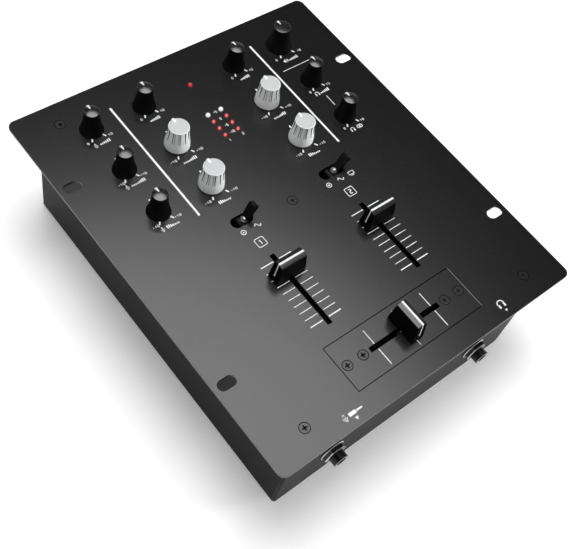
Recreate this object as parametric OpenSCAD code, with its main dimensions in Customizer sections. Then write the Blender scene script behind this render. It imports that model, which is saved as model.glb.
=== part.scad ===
// Two-channel tabletop DJ mixer in a folded steel case, with a flat control
// panel that overhangs the case on all sides and carries four rack slots.
// Origin: on the standing surface under the middle of the mixer.
// +X runs to the right of the player, +Y to the rear connectors, +Z up.

/* [Panel] */
// Width of the control panel, left to right
panel_w = 210; // [206:1:236]
// Depth of the control panel, front to back
panel_d = 247; // [243:1:275]
// Thickness of the control panel
panel_t = 1.5; // [1.2:0.1:2]
// Corner radius of the control panel
panel_corner_r = 4.5; // [2:0.5:6]
// Length of a rack slot, end to end
rack_slot_l = 10.8; // [8:0.2:11]
// Width of a rack slot
rack_slot_w = 6.4; // [5:0.2:7]
// Distance from the panel's side edge to the centre of a rack slot
rack_slot_inset = 8; // [7:0.5:9]
// Distance between the front and rear rack slots
rack_slot_pitch = 138; // [120:1:180]

/* [Case] */
// Height from the underside of the case to the top of the panel
body_h = 75; // [72:1:95]
// Overhang of the panel past each side wall
side_overhang = 15; // [14:0.5:18]
// Overhang of the panel past the front and rear walls
end_overhang = 7; // [5:0.5:10]
// Thickness of the case sheet
sheet_t = 1.2; // [1:0.1:1.5]
// Outer radius of the case's upright corners
case_corner_r = 2; // [1.6:0.1:3]
// Width of the lips that the panel screws into
lip_w = 12; // [11:0.5:14]
// Height of a rubber foot below the case
foot_h = 2.5; // [2:0.5:6]
// Radius of a rubber foot
foot_r = 7; // [6:0.5:9]
// Distance from the case walls to the centre of a foot
foot_inset = 17; // [12:1:24]

/* [Layout] */
// Distance of the channel columns from the middle
channel_x = 32.3; // [31:0.1:33]
// Distance from the panel's side edges to the outer knob columns
outer_inset = 37.9; // [36:0.1:41]
// Distance from the panel's rear edge to the rear knob row
gain_row_inset = 26.1; // [24:0.1:28]
// Distance between two knob rows
row_pitch = 32.5; // [30:0.1:33]
// Place of the toggle levers in front of or behind the middle
toggle_y = 4.2; // [2:0.1:6]
// Distance from the panel's front edge to the middle of the channel faders
fader_inset = 76.5; // [75:0.5:82]
// Distance from the panel's front edge to the middle of the crossfader
crossfader_inset = 28.1; // [27:0.1:30]
// Distance from the panel's side edges to the corner screws
screw_side_inset = 25; // [23:0.5:27]
// Distance from the panel's front and rear edges to the corner screws
screw_end_inset = 14.5; // [13.5:0.5:15.5]

/* [Knobs] */
// Gap between the panel and the underside of a knob
knob_gap = 0.3; // [0.2:0.1:1]
// Height of a small knob
small_knob_h = 15.7; // [13:0.1:18]
// Base radius of a small knob
small_knob_base_r = 6.9; // [6.5:0.1:8]
// Top radius of a small knob
small_knob_top_r = 4.5; // [4.3:0.1:5]
// Height of the master knob
master_knob_h = 15.7; // [13:0.1:18]
// Base radius of the master knob
master_knob_base_r = 8.3; // [7.5:0.1:9]
// Top radius of the master knob
master_knob_top_r = 5.2; // [4.8:0.1:6]
// Height of a tone knob
tone_knob_h = 15.2; // [13:0.1:18]
// Base radius of a tone knob
tone_knob_base_r = 7.4; // [7:0.1:8.5]
// Top radius of a tone knob
tone_knob_top_r = 5.95; // [5.5:0.05:6.5]
// Number of grip grooves round a tone knob
tone_groove_count = 12; // [8:1:14]
// Depth of a grip groove at the top of a tone knob
tone_groove_depth = 0.55; // [0.4:0.05:0.7]
// Rise of the domed top of a black knob
knob_crown = 0.5; // [0.3:0.1:1]
// Radius of a potentiometer shaft
shaft_r = 3; // [2.8:0.1:3]
// Radial play between a shaft and its knob
knob_play = 0.03; // [0.02:0.01:0.05]
// Radial running play of shafts, levers and guide rods
running_play = 0.05; // [0.03:0.01:0.08]

/* [Potentiometers] */
// Width of a potentiometer body
pot_w = 9.8; // [9:0.1:11]
// Length of a potentiometer body
pot_l = 11.2; // [10:0.1:12]
// Height of a potentiometer body
pot_h = 6.5; // [5.5:0.1:8]
// Radius of a potentiometer's bushing
bushing_r = 3.6; // [3.5:0.1:4]
// Space between the panel's underside and the main board
board_drop = 12; // [11.5:0.5:14]
// Thickness of the circuit boards
board_t = 1.6; // [1:0.1:2]

/* [Faders] */
// Travel of every fader
fader_travel = 45; // [40:1:47]
// Width of a fader's frame
fader_frame_w = 9.4; // [9:0.1:11]
// Height of a fader's frame
fader_frame_h = 10.5; // [10:0.1:11]
// Wall of a fader's frame
fader_wall = 0.8; // [0.6:0.1:1.2]
// Length of the carriage inside a fader
carriage_l = 7; // [6:0.5:8]
// Width of a fader's flat lever along its travel
lever_w = 4; // [3:0.5:5]
// Thickness of a fader's flat lever
lever_t = 1.2; // [1:0.1:1.4]
// Width of the slots that the fader levers run in
slot_w = 2.5; // [2.2:0.1:3]
// Play of a lever at each end of its slot
slot_end_play = 0.5; // [0.3:0.1:1]
// Place of the channel levers behind the middle of their travel
channel_rest = 11.8; // [-20:0.1:20]
// Length of a fader cap across its slot
cap_l = 19.4; // [16:0.2:22.4]
// Length of a fader cap at its top
cap_top_l = 16.6; // [14:0.2:19]
// Width of a fader cap at its foot
cap_w = 8.2; // [7:0.1:9.5]
// Width of a fader cap at its top
cap_top_w = 6.4; // [5.6:0.1:7.4]
// Height of a fader cap
cap_h = 14; // [12:0.5:16]
// Gap between the panel and the underside of a fader cap
cap_gap = 0.8; // [0.5:0.1:2]
// Wall of a fader cap
cap_wall = 1.3; // [1:0.1:1.6]

/* [Crossfader plate] */
// Width of the crossfader plate
cross_plate_w = 90; // [88:0.5:94]
// Depth of the crossfader plate
cross_plate_d = 28.4; // [26:0.2:30]
// Gap all round the crossfader plate
cross_plate_gap = 0.3; // [0.2:0.1:0.5]
// Gap between the crossfader's slot and the heads of its own screws
cross_head_gap = 2; // [1:0.1:3]
// Distance from the plate's ends to the screws that hold it
plate_screw_inset = 4.5; // [4:0.1:5]

/* [Toggles] */
// Width of a toggle's slot in the panel
toggle_slot_w = 7.2; // [6.6:0.1:8]
// Length of the two-position toggle's slot
toggle_slot_2way = 14; // [13.5:0.5:16]
// Length of the three-position toggle's slot
toggle_slot_3way = 16.6; // [16:0.2:18]
// Lean of the two-position lever to either side
toggle_tilt_2way = 24; // [18:1:28]
// Lean of the three-position lever to either side
toggle_tilt_3way = 36; // [28:1:40]
// Depth of the toggle pivots below the panel's top
toggle_pivot_depth = 5; // [4.6:0.1:5.4]
// Length of a toggle lever above its pivot
toggle_lever_l = 17; // [14:0.5:20]
// Width of a toggle lever front to back
toggle_lever_w = 5.2; // [4.4:0.1:6]
// Thickness of a toggle lever
toggle_lever_t = 3; // [2.6:0.1:3.4]

/* [Lights] */
// Radius of a light
led_r = 1.45; // [1.3:0.05:1.6]
// Height of a light's dome above the panel
led_proud = 1.7; // [1:0.1:2.2]
// Distance of a meter column from the middle
meter_x = 4.6; // [4:0.1:5.5]
// Distance between two lights of a meter column
meter_pitch = 5.6; // [5:0.1:6]

/* [Screws] */
// Radius of a screw's thread
screw_r = 1.5; // [1.3:0.1:1.6]
// Radius of a countersunk screw head
screw_head_r = 2.8; // [2.6:0.1:3]
// Height of a countersunk screw head
screw_head_h = 1.3; // [1:0.1:1.4]
// Length of a screw with its head
screw_l = 6; // [5:0.5:7]
// Radial play between a screw's thread and its tapped hole
thread_play = 0.05; // [0.03:0.01:0.08]
// Radial clearance round a screw in its hole
screw_play = 0.15; // [0.1:0.05:0.3]

/* [Front jacks] */
// Distance of the front jacks from the middle
jack_x = 55; // [50:0.5:60]
// Height of the front jacks above the underside of the case
jack_up = 26; // [20:0.5:34]
// Radius of a front jack's nose
jack_nose_r = 4.65; // [4.6:0.05:5]
// Reach of a front jack's nose past the front wall
jack_nose_out = 8; // [7:0.5:10]
// Radius of the plug bore
jack_bore_r = 3.25; // [3.2:0.05:3.4]
// Depth of the plug bore
jack_bore_l = 30; // [28:1:34]
// Width of a front jack's housing
jack_body_w = 16; // [15:0.5:18]
// Width across the flats of a jack's nut
jack_nut_af = 13; // [12:0.5:14]
// Thickness of a jack's nut
jack_nut_t = 2.5; // [2:0.1:3]
// Radius of a jack's washer
jack_washer_r = 7.8; // [7.6:0.1:8.5]
// Thickness of a jack's washer
jack_washer_t = 0.8; // [0.5:0.1:1]

/* [Rear connectors] */
// Height of the rear connectors above the underside of the case
rear_up = 36; // [32:1:40]
// Distance from the side walls to the outermost rear connectors
rear_margin = 18; // [14:0.5:20]
// Distance between the two sockets of a phono pair
phono_pitch = 14; // [13:0.5:16]
// Outer radius of a phono socket's shell
phono_shell_r = 4.15; // [4.1:0.05:4.2]
// Reach of a phono socket past the rear wall
phono_out = 8; // [7.5:0.5:9]
// Radius of the pin hole in a phono socket
phono_hole_r = 1.6; // [1.5:0.05:1.75]
// Width of a phono pair's housing
phono_block_w = 12; // [11:0.5:13]
// Depth of a phono pair's housing
phono_block_d = 12; // [12:0.5:14]
// Outer width of the USB socket's shell
usb_w = 12; // [11.8:0.1:12.4]
// Outer height of the USB socket's shell
usb_h = 10.9; // [10.6:0.1:11.2]
// Radius of the power inlet's socket
inlet_r = 3.1; // [3:0.1:3.3]
// Radius of the power inlet's centre pin
inlet_pin_r = 1.05; // [1:0.05:1.25]
// Width of the power switch's opening
rocker_w = 8.6; // [8:0.1:10]
// Height of the power switch's opening
rocker_h = 17; // [15:0.5:19]
// Lean of the power rocker to either side
rocker_tilt = 9; // [6:1:10]

/* [Hidden] */
$fn = 64;

// Levels and walls
eps = 0.01;
case_w = panel_w - 2 * side_overhang;
case_d = panel_d - 2 * end_overhang;
panel_z = foot_h + body_h;
under_z = panel_z - panel_t;
board_z = under_z - board_drop;
wall_out = case_d / 2;
wall_in = wall_out - sheet_t;
side_in = case_w / 2 - sheet_t;
lip_in = wall_out - lip_w;
seat_play = 0.15;

// Control places, as [x, y] on the panel
outer_x = panel_w / 2 - outer_inset;
gain_row_y = panel_d / 2 - gain_row_inset;
fader_y = fader_inset - panel_d / 2;
crossfader_y = crossfader_inset - panel_d / 2;
screw_x = panel_w / 2 - screw_side_inset;
screw_y = panel_d / 2 - screw_end_inset;
lever_slot_l = fader_travel + lever_w + 2 * slot_end_play;
cross_screw_in = lever_slot_l / 2 + cross_head_gap + screw_head_r;
cross_screw_out = cross_plate_w / 2 - plate_screw_inset;
treble_y = gain_row_y - row_pitch;
bass_y = gain_row_y - 2 * row_pitch;
MIC_GAIN = [-outer_x, gain_row_y];
MIC_TREBLE = [-outer_x, treble_y];
MIC_BASS = [-outer_x, bass_y];
GAIN_1 = [-channel_x, gain_row_y];
TREBLE_1 = [-channel_x, treble_y];
BASS_1 = [-channel_x, bass_y];
GAIN_2 = [channel_x, gain_row_y];
TREBLE_2 = [channel_x, treble_y];
BASS_2 = [channel_x, bass_y];
MASTER = [outer_x, gain_row_y];
CUE_GAIN = [outer_x, treble_y];
CUE_MIX = [outer_x, bass_y];
POTS = [MIC_GAIN, MIC_TREBLE, MIC_BASS, GAIN_1, TREBLE_1, BASS_1,
    GAIN_2, TREBLE_2, BASS_2, MASTER, CUE_GAIN, CUE_MIX];
CORNER_SCREWS = [for (x = [-screw_x, screw_x], y = [-screw_y, screw_y]) [x, y]];
CROSS_SCREWS = [for (s = [-1, 1], d = [cross_screw_in, cross_screw_out]) [s * d, crossfader_y]];
RACK_SLOTS = [for (s = [-1, 1], t = [-1, 1])
    [s * (panel_w / 2 - rack_slot_inset), t * rack_slot_pitch / 2]];
METER_RED = [for (s = [-1, 1], i = [0:2]) [s * meter_x, treble_y + (i - 1.5) * meter_pitch]];
METER_WHITE = [for (s = [-1, 1]) [s * meter_x, treble_y + 1.5 * meter_pitch]];
POWER_LIGHT = [0, gain_row_y];

// Feet
foot_peg_r = 2.5;
FOOT_PLACES = [for (x = [-1, 1], y = [-1, 1])
    [x * (case_w / 2 - foot_inset), y * (case_d / 2 - foot_inset)]];

// Main board and its pillars
board_margin = 5;
board_half_w = side_in - board_margin;
board_rear = gain_row_y + board_margin;
pillar_r = 2.8;
pillar_foot_r = 1.6;
pillar_x = board_half_w - pillar_r - 2.2;
PILLARS = [[0, 0], [-pillar_x, treble_y + row_pitch / 2], [pillar_x, treble_y + row_pitch / 2],
    [-pillar_x, fader_y], [pillar_x, fader_y]];

// Knobs and shafts
knob_wall = 1;
knob_edge_r = 0.4;
knob_skin = 1.6;
hub_r = shaft_r + 1;
hollow_h = 4;
flat_in = shaft_r / 2;
flat_from = 3;

// Faders
cavity_l = fader_travel + carriage_l + 1;
cavity_w = fader_frame_w - 2 * fader_wall;
channel_frame_l = cavity_l + 7;
screw_land = screw_r + 0.7;
cross_frame_l = 2 * (cross_screw_in + screw_land);
board_front = fader_y - channel_frame_l / 2 - 2;
rod_r = 0.8;
rod_y = cavity_w / 2 - 1.9;
rod_drop = fader_frame_h / 2 + 1;
carriage_h = 6;
carriage_play = 0.3;
cap_top = panel_z + cap_gap + cap_h;
lever_top = cap_top - 2.4;
channel_frame_top = board_z + fader_frame_h;

// Toggles
toggle_wall = 1.2;
toggle_body_w = toggle_slot_w + 2 * toggle_wall;
toggle_body_end = 2;
toggle_pivot_z = panel_z - toggle_pivot_depth;
barrel_r = 3.1;
barrel_w = toggle_slot_w - 0.4;
trunnion_r = 1.2;
toggle_ball_r = toggle_lever_w / 2 + 0.1;
toggle_ball_up = barrel_r + 1.1;

// Front jacks
jack_z = foot_h + jack_up;
jack_tip = -wall_out - jack_nose_out;
jack_body_h = jack_body_w - 2;
ferrule_t = 0.8;
ferrule_r = jack_nose_r - 0.4;

// Rear connectors, left to right across the back wall
rear_z = foot_h + rear_up;
socket_back = wall_in - phono_block_d;
rear_last = 9;
rear_pitch = (case_w - 2 * rear_margin) / rear_last;
REAR_X = [for (i = [0:rear_last]) rear_margin - case_w / 2 + i * rear_pitch];
PHONO_X = [for (i = [0, 1, 3, 4, 6, 7]) REAR_X[i]];
ground_x = REAR_X[2];
usb_x = REAR_X[5];
inlet_x = REAR_X[8];
switch_x = REAR_X[9];
phono_wall_play = 0.45;
phono_seat = 3;
phono_shell_t = 0.7;
phono_neck_r = phono_shell_r - 0.25;
phono_shoulder = 0.5;
phono_l = phono_seat + sheet_t + phono_out;
usb_out = 1;
usb_opening_w = 8.5;
usb_opening_h = 7.8;
usb_opening_d = 9;
usb_tongue_w = 5.6;
usb_tongue_h = 3.2;
inlet_boss_r = inlet_r + 1.5;
inlet_out = 0.6;
switch_body_w = rocker_w + 3;
switch_body_h = rocker_h + 3;
switch_flange = 2.2;
switch_flange_t = 1.5;
switch_depth = 14;
rocker_pivot_y = wall_out + switch_flange_t - 2.5;
rocker_pin_r = 1;
rocker_play = 0.25;
post_r = 2;
post_out = 7.5;
thumb_r = 4.5;
thumb_t = 4.5;

// A filled outline with round corners
module round_rect(w, d, r) {
    square([w - 2 * r, d], center = true);
    square([w, d - 2 * r], center = true);
    for (x = [-1, 1], y = [-1, 1]) translate([x * (w / 2 - r), y * (d / 2 - r)]) circle(r);
}

// A slot with round ends, its length along X
module slot(l, w) {
    square([l - w, w], center = true);
    for (x = [-1, 1]) translate([x * (l - w) / 2, 0]) circle(w / 2);
}

// Runs its children at each place of a list of [x, y]
module at(places, z = 0) {
    for (p = places) translate([p[0], p[1], z]) children();
}

// A box with its middle at x and y, standing on z = 0
module block(w, d, h) {
    translate([-w / 2, -d / 2, 0]) cube([w, d, h]);
}

// Points of an arc round [cx, cy]
function arc(cx, cy, r, from, to, steps) =
    [for (i = [0:steps]) let (a = from + (to - from) * i / steps) [cx + r * cos(a), cy + r * sin(a)]];

// ---------- Case ----------

module chassis() {
    wall_h = under_z - foot_h;
    color([0.13, 0.13, 0.14])
    difference() {
        translate([0, 0, foot_h]) linear_extrude(wall_h) round_rect(case_w, case_d, case_corner_r);
        translate([0, 0, foot_h + sheet_t]) linear_extrude(wall_h - 2 * sheet_t)
            round_rect(2 * side_in, 2 * wall_in, case_corner_r - sheet_t + 0.1);
        translate([0, 0, under_z - sheet_t - eps]) block(2 * side_in, 2 * lip_in, sheet_t + 1);
        at(CORNER_SCREWS, under_z - sheet_t - 1) cylinder(r = screw_r + thread_play, h = sheet_t + 2);
        at(FOOT_PLACES, foot_h - 1) cylinder(r = foot_peg_r + seat_play, h = sheet_t + 2);
        for (x = [-jack_x, jack_x]) translate([x, 1 - wall_in, jack_z])
            rotate([90, 0, 0]) cylinder(r = jack_nose_r + seat_play, h = sheet_t + 2);
        for (x = PHONO_X, z = [-1, 1])
            rear_hole(x, rear_z + z * phono_pitch / 2, phono_shell_r + phono_wall_play);
        rear_hole(ground_x, rear_z, post_r + seat_play);
        rear_hole(inlet_x, rear_z, inlet_boss_r + seat_play);
        rear_window(usb_x, usb_w + 2 * seat_play, usb_h + 2 * seat_play);
        rear_window(switch_x, switch_body_w + 2 * seat_play, switch_body_h + 2 * seat_play);
    }
}

// Round and square holes through the rear wall
module rear_hole(x, z, r) {
    translate([x, wall_in - 1, z]) rotate([-90, 0, 0]) cylinder(r = r, h = sheet_t + 2);
}

module rear_window(x, w, h) {
    translate([x - w / 2, wall_in - 1, rear_z - h / 2]) cube([w, sheet_t + 2, h]);
}

module feet() {
    taper = 0.8;
    head_h = 1.4;
    color([0.06, 0.06, 0.06])
    at(FOOT_PLACES) rotate_extrude()
        polygon([[0, 0], [foot_r - taper, 0], [foot_r, foot_h], [foot_peg_r, foot_h],
            [foot_peg_r, foot_h + sheet_t], [foot_peg_r + 0.6, foot_h + sheet_t],
            [foot_peg_r, foot_h + sheet_t + head_h], [0, foot_h + sheet_t + head_h]]);
}

// ---------- Panel ----------

// Hole for a countersunk screw, its mouth at z = 0 and its tip below
module screw_hole(depth) {
    cone_play = 0.05;
    translate([0, 0, -depth]) cylinder(r = screw_r + screw_play, h = depth + 1);
    translate([0, 0, -screw_head_h]) cylinder(r1 = screw_r + cone_play,
        r2 = screw_head_r + cone_play, h = screw_head_h);
    translate([0, 0, -eps]) cylinder(r = screw_head_r + cone_play, h = 1);
}

module top_panel() {
    color([0.16, 0.16, 0.17])
    difference() {
        translate([0, 0, under_z]) linear_extrude(panel_t) round_rect(panel_w, panel_d, panel_corner_r);
        translate([0, 0, under_z - 1]) linear_extrude(panel_t + 2) {
            for (p = RACK_SLOTS) translate(p) slot(rack_slot_l, rack_slot_w);
            for (x = [-channel_x, channel_x])
                translate([x, fader_y]) square([slot_w, lever_slot_l], center = true);
            translate([-channel_x, toggle_y]) slot(toggle_slot_2way, toggle_slot_w);
            translate([channel_x, toggle_y]) slot(toggle_slot_3way, toggle_slot_w);
            translate([0, crossfader_y])
                square([cross_plate_w, cross_plate_d] + 2 * cross_plate_gap * [1, 1], center = true);
            for (p = POTS) translate(p) circle(bushing_r + seat_play);
            for (p = concat(METER_RED, METER_WHITE, [POWER_LIGHT])) translate(p) circle(led_r + seat_play);
        }
        at(concat(CORNER_SCREWS, [[0, 0]]), panel_z) screw_hole(panel_t + 1);
    }
}

module crossfader_plate() {
    color([0.16, 0.16, 0.17])
    difference() {
        translate([0, crossfader_y, under_z]) block(cross_plate_w, cross_plate_d, panel_t);
        translate([0, crossfader_y, under_z - 1]) block(lever_slot_l, slot_w, panel_t + 2);
        at(CROSS_SCREWS, panel_z) screw_hole(panel_t + 1);
    }
}

// Straps under the panel that carry the two ends of the crossfader plate
module crossfader_brackets() {
    strap_in = cross_screw_out - screw_r - 2;
    strap_out = cross_plate_w / 2 + 5;
    front = -lip_in + 0.6;
    rear = crossfader_y + cross_plate_d / 2 + 3;
    color([0.55, 0.56, 0.58])
    difference() {
        for (s = [-1, 1]) translate([s * (strap_in + strap_out) / 2, (front + rear) / 2, under_z - sheet_t])
            block(strap_out - strap_in, rear - front, sheet_t);
        for (s = [-1, 1]) translate([s * cross_screw_out, crossfader_y, under_z - sheet_t - 1])
            cylinder(r = screw_r + thread_play, h = sheet_t + 2);
    }
}

// One countersunk screw with a cross recess, its head's top at z = 0
module screw() {
    difference() {
        union() {
            translate([0, 0, -screw_head_h]) cylinder(r1 = screw_r, r2 = screw_head_r, h = screw_head_h);
            translate([0, 0, -screw_l]) cylinder(r = screw_r, h = screw_l - screw_head_h);
        }
        for (a = [0, 90]) rotate(a) translate([0, 0, -0.9]) block(3, 0.7, 2);
    }
}

module panel_screws() {
    color([0.2, 0.2, 0.21])
    at(concat(CORNER_SCREWS, [[0, 0]], CROSS_SCREWS), panel_z) screw();
}

// ---------- Main board ----------

module board_pillars() {
    color([0.75, 0.75, 0.77])
    difference() {
        at(PILLARS) {
            translate([0, 0, board_z]) cylinder(r = pillar_r, h = board_drop);
            translate([0, 0, board_z - board_t - 0.8]) cylinder(r = pillar_foot_r, h = board_t + 1);
        }
        translate([0, 0, panel_z - screw_l - 1]) cylinder(r = screw_r + thread_play, h = screw_l + 1);
    }
}

module main_board() {
    color([0.08, 0.3, 0.16])
    difference() {
        translate([-board_half_w, board_front, board_z - board_t])
            cube([2 * board_half_w, board_rear - board_front, board_t]);
        at(PILLARS, board_z - board_t - 1) cylinder(r = pillar_foot_r + 0.1, h = board_t + 2);
    }
}

module pot_bodies() {
    color([0.35, 0.37, 0.4])
    at(POTS, board_z) difference() {
        union() {
            translate([0, -0.6, 0]) block(pot_w, pot_l, pot_h);
            cylinder(r = bushing_r, h = panel_z - board_z - 0.3);
        }
        translate([0, 0, 1]) cylinder(r = shaft_r + running_play, h = board_drop + panel_t);
    }
}

// ---------- Faders ----------

// A fader's frame, with its travel along X and its top at z = 0
module fader_frame(l) {
    difference() {
        translate([0, 0, -fader_frame_h]) block(l, fader_frame_w, fader_frame_h);
        translate([0, 0, fader_wall - fader_frame_h])
            block(cavity_l, cavity_w, fader_frame_h - 2 * fader_wall);
        translate([0, 0, -fader_wall - 1]) block(lever_slot_l, slot_w, fader_wall + 2);
    }
    for (y = [-rod_y, rod_y]) translate([-cavity_l / 2 - 1, y, -rod_drop])
        rotate([0, 90, 0]) cylinder(r = rod_r, h = cavity_l + 2);
}

// The sliding block on its two rods, with the flat lever standing to a height above the frame's top
module carriage(lever_h) {
    difference() {
        translate([0, 0, -rod_drop - carriage_h / 2])
            block(carriage_l, cavity_w - 2 * carriage_play, carriage_h);
        for (y = [-rod_y, rod_y]) translate([-carriage_l, y, -rod_drop])
            rotate([0, 90, 0]) cylinder(r = rod_r + running_play, h = 2 * carriage_l);
    }
    translate([0, 0, -rod_drop]) block(lever_w, lever_t, rod_drop + lever_h);
}

// A fader cap with its ridge along X, its foot at z = 0
module cap() {
    bevel = 1.1;
    ridge = 0.2;
    socket_play = 0.04;
    boss = 3;
    cavity_h = cap_h - 4.5;
    socket_h = lever_top - panel_z - cap_gap + socket_play;
    difference() {
        intersection() {
            translate([-cap_l, 0, 0]) rotate([90, 0, 90]) linear_extrude(2 * cap_l)
                polygon([[-cap_w / 2, 0], [cap_w / 2, 0], [cap_top_w / 2, cap_h - bevel],
                    [ridge, cap_h], [-ridge, cap_h], [-cap_top_w / 2, cap_h - bevel]]);
            translate([0, cap_w, 0]) rotate([90, 0, 0]) linear_extrude(2 * cap_w)
                polygon([[-cap_l / 2, 0], [cap_l / 2, 0], [cap_top_l / 2, cap_h], [-cap_top_l / 2, cap_h]]);
        }
        difference() {
            translate([0, 0, -1]) block(cap_top_l - 2 * cap_wall, cap_top_w - 2 * cap_wall, cavity_h + 1);
            translate([0, 0, -2]) block(lever_t + boss, lever_w + boss, cavity_h + 2);
        }
        translate([0, 0, -1])
            block(lever_t + 2 * socket_play, lever_w + 2 * socket_play, socket_h + 1);
    }
}

module channel_fader_frames() {
    color([0.7, 0.71, 0.73])
    for (x = [-channel_x, channel_x]) translate([x, fader_y, channel_frame_top])
        rotate(90) fader_frame(channel_frame_l);
}

module crossfader_frame() {
    color([0.7, 0.71, 0.73])
    translate([0, crossfader_y, under_z]) difference() {
        fader_frame(cross_frame_l);
        for (x = [-cross_screw_in, cross_screw_in]) translate([x, 0, -screw_l])
            cylinder(r = screw_r + thread_play, h = screw_l + 1);
    }
}

module channel_carriage(x) {
    color([0.8, 0.8, 0.78])
    translate([x, fader_y + channel_rest, channel_frame_top])
        rotate(90) carriage(lever_top - channel_frame_top);
}

module channel_cap(x) {
    color([0.05, 0.05, 0.05]) translate([x, fader_y + channel_rest, panel_z + cap_gap]) cap();
}

module channel_1_carriage() channel_carriage(-channel_x);
module channel_2_carriage() channel_carriage(channel_x);
module channel_1_cap() channel_cap(-channel_x);
module channel_2_cap() channel_cap(channel_x);

module crossfader_carriage() {
    color([0.8, 0.8, 0.78]) translate([0, crossfader_y, under_z]) carriage(lever_top - under_z);
}

module crossfader_cap() {
    color([0.05, 0.05, 0.05]) translate([0, crossfader_y, panel_z + cap_gap]) rotate(90) cap();
}

// ---------- Toggles ----------

// A toggle's housing on the board, open at the top like the panel's slot
module toggle_body(slot_l) {
    h = board_drop - 0.2;
    pivot_h = toggle_pivot_z - board_z;
    floor_h = pivot_h - barrel_r - 0.6;
    difference() {
        block(slot_l + 2 * toggle_body_end, toggle_body_w, h);
        translate([0, 0, floor_h]) linear_extrude(h) slot(slot_l, toggle_slot_w);
        translate([0, 0, pivot_h]) rotate([90, 0, 0])
            cylinder(r = trunnion_r + running_play, h = 2 * toggle_body_w, center = true);
    }
}

module toggle_bodies() {
    color([0.07, 0.07, 0.07]) {
        translate([-channel_x, toggle_y, board_z]) toggle_body(toggle_slot_2way);
        translate([channel_x, toggle_y, board_z]) toggle_body(toggle_slot_3way);
    }
}

// Outline of a toggle's bat from its pivot up: straight neck, wider tip with round corners
function bat_outline(neck, tip, r) =
    concat([[-neck, 0], [neck, 0], [neck, barrel_r + 1]],
        arc(tip - r, toggle_lever_l - r, r, 0, 90, 4),
        arc(r - tip, toggle_lever_l - r, r, 90, 180, 4), [[-neck, barrel_r + 1]]);

// A toggle lever at x, leaning to the right by an angle: barrel, trunnions, ball and flat bat
module toggle_lever(x, tilt) {
    neck_t = toggle_lever_t - 0.6;
    neck_w = toggle_lever_w - 0.8;
    color([0.04, 0.04, 0.04])
    translate([x, toggle_y, toggle_pivot_z]) rotate([0, tilt, 0]) {
        rotate([90, 0, 0]) cylinder(r = barrel_r, h = barrel_w, center = true);
        rotate([90, 0, 0]) cylinder(r = trunnion_r, h = toggle_body_w - 0.4, center = true);
        translate([0, 0, toggle_ball_up]) sphere(toggle_ball_r);
        intersection() {
            translate([0, toggle_lever_w, 0]) rotate([90, 0, 0]) linear_extrude(2 * toggle_lever_w)
                polygon(bat_outline(neck_t / 2, toggle_lever_t / 2, 0.8));
            translate([-toggle_lever_t, 0, 0]) rotate([90, 0, 90]) linear_extrude(2 * toggle_lever_t)
                polygon(bat_outline(neck_w / 2, toggle_lever_w / 2, 1.2));
        }
    }
}

module toggle_1_lever() toggle_lever(-channel_x, toggle_tilt_2way);
module toggle_2_lever() toggle_lever(channel_x, toggle_tilt_3way);

// ---------- Lights ----------

// A round light in its panel hole, standing on two leads on the board
module light() {
    barrel_h = 4;
    lead = 0.5;
    dome_z = panel_z + led_proud - led_r;
    translate([0, 0, dome_z]) sphere(led_r);
    translate([0, 0, dome_z - barrel_h]) cylinder(r = led_r, h = barrel_h);
    for (x = [-0.7, 0.7]) translate([x, 0, board_z]) block(lead, lead, dome_z - barrel_h - board_z + eps);
}

module red_lights() {
    color([0.85, 0.12, 0.12]) at(concat(METER_RED, [POWER_LIGHT])) light();
}

module white_lights() {
    color([0.95, 0.95, 0.95]) at(METER_WHITE) light();
}

// ---------- Front jacks ----------

// Runs its children at both jacks, with z = 0 at the nose's tip and +Z into the case
module at_jacks() {
    for (x = [-jack_x, jack_x]) translate([x, jack_tip, jack_z]) rotate([-90, 0, 0]) children();
}

module jack_bodies() {
    body_back = jack_bore_l + 1.5;
    body_front = jack_nose_out + sheet_t;
    color([0.05, 0.05, 0.05])
    at_jacks() difference() {
        union() {
            cylinder(r = jack_nose_r, h = body_front + 1);
            translate([0, 0, body_front]) block(jack_body_w, jack_body_h, body_back - body_front);
        }
        translate([0, 0, -1]) cylinder(r = jack_bore_r, h = jack_bore_l + 1);
        translate([0, 0, -1]) cylinder(r = ferrule_r + thread_play, h = ferrule_t + 1);
    }
}

module jack_ferrules() {
    color([0.8, 0.8, 0.82])
    at_jacks() difference() {
        cylinder(r = ferrule_r, h = ferrule_t);
        translate([0, 0, -1]) cylinder(r = jack_bore_r + 0.1, h = ferrule_t + 2);
    }
}

module jack_washers() {
    color([0.72, 0.73, 0.75])
    at_jacks() translate([0, 0, jack_nose_out - jack_washer_t]) difference() {
        cylinder(r = jack_washer_r, h = jack_washer_t);
        translate([0, 0, -1]) cylinder(r = jack_nose_r + seat_play, h = jack_washer_t + 2);
    }
}

module jack_nuts() {
    hex_r = jack_nut_af / 2 / cos(30);
    color([0.76, 0.77, 0.79])
    at_jacks() translate([0, 0, jack_nose_out - jack_washer_t - jack_nut_t]) difference() {
        cylinder(r = hex_r, h = jack_nut_t, $fn = 6);
        translate([0, 0, -1]) cylinder(r = jack_nose_r + thread_play, h = jack_nut_t + 2);
    }
}

// ---------- Rear connectors ----------

module rear_board() {
    left = PHONO_X[0] - phono_block_w / 2 - 2;
    right = inlet_x + inlet_boss_r + 1;
    h = phono_pitch + phono_block_w + 2;
    color([0.08, 0.3, 0.16])
    translate([left, socket_back - board_t, rear_z - h / 2]) cube([right - left, board_t, h]);
}

// Runs its children at each phono socket, with z = 0 at the wall's inner face and +Z outwards
module at_phonos() {
    for (x = PHONO_X, z = [-1, 1])
        translate([x, wall_in, rear_z + z * phono_pitch / 2]) rotate([-90, 0, 0]) children();
}

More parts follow.
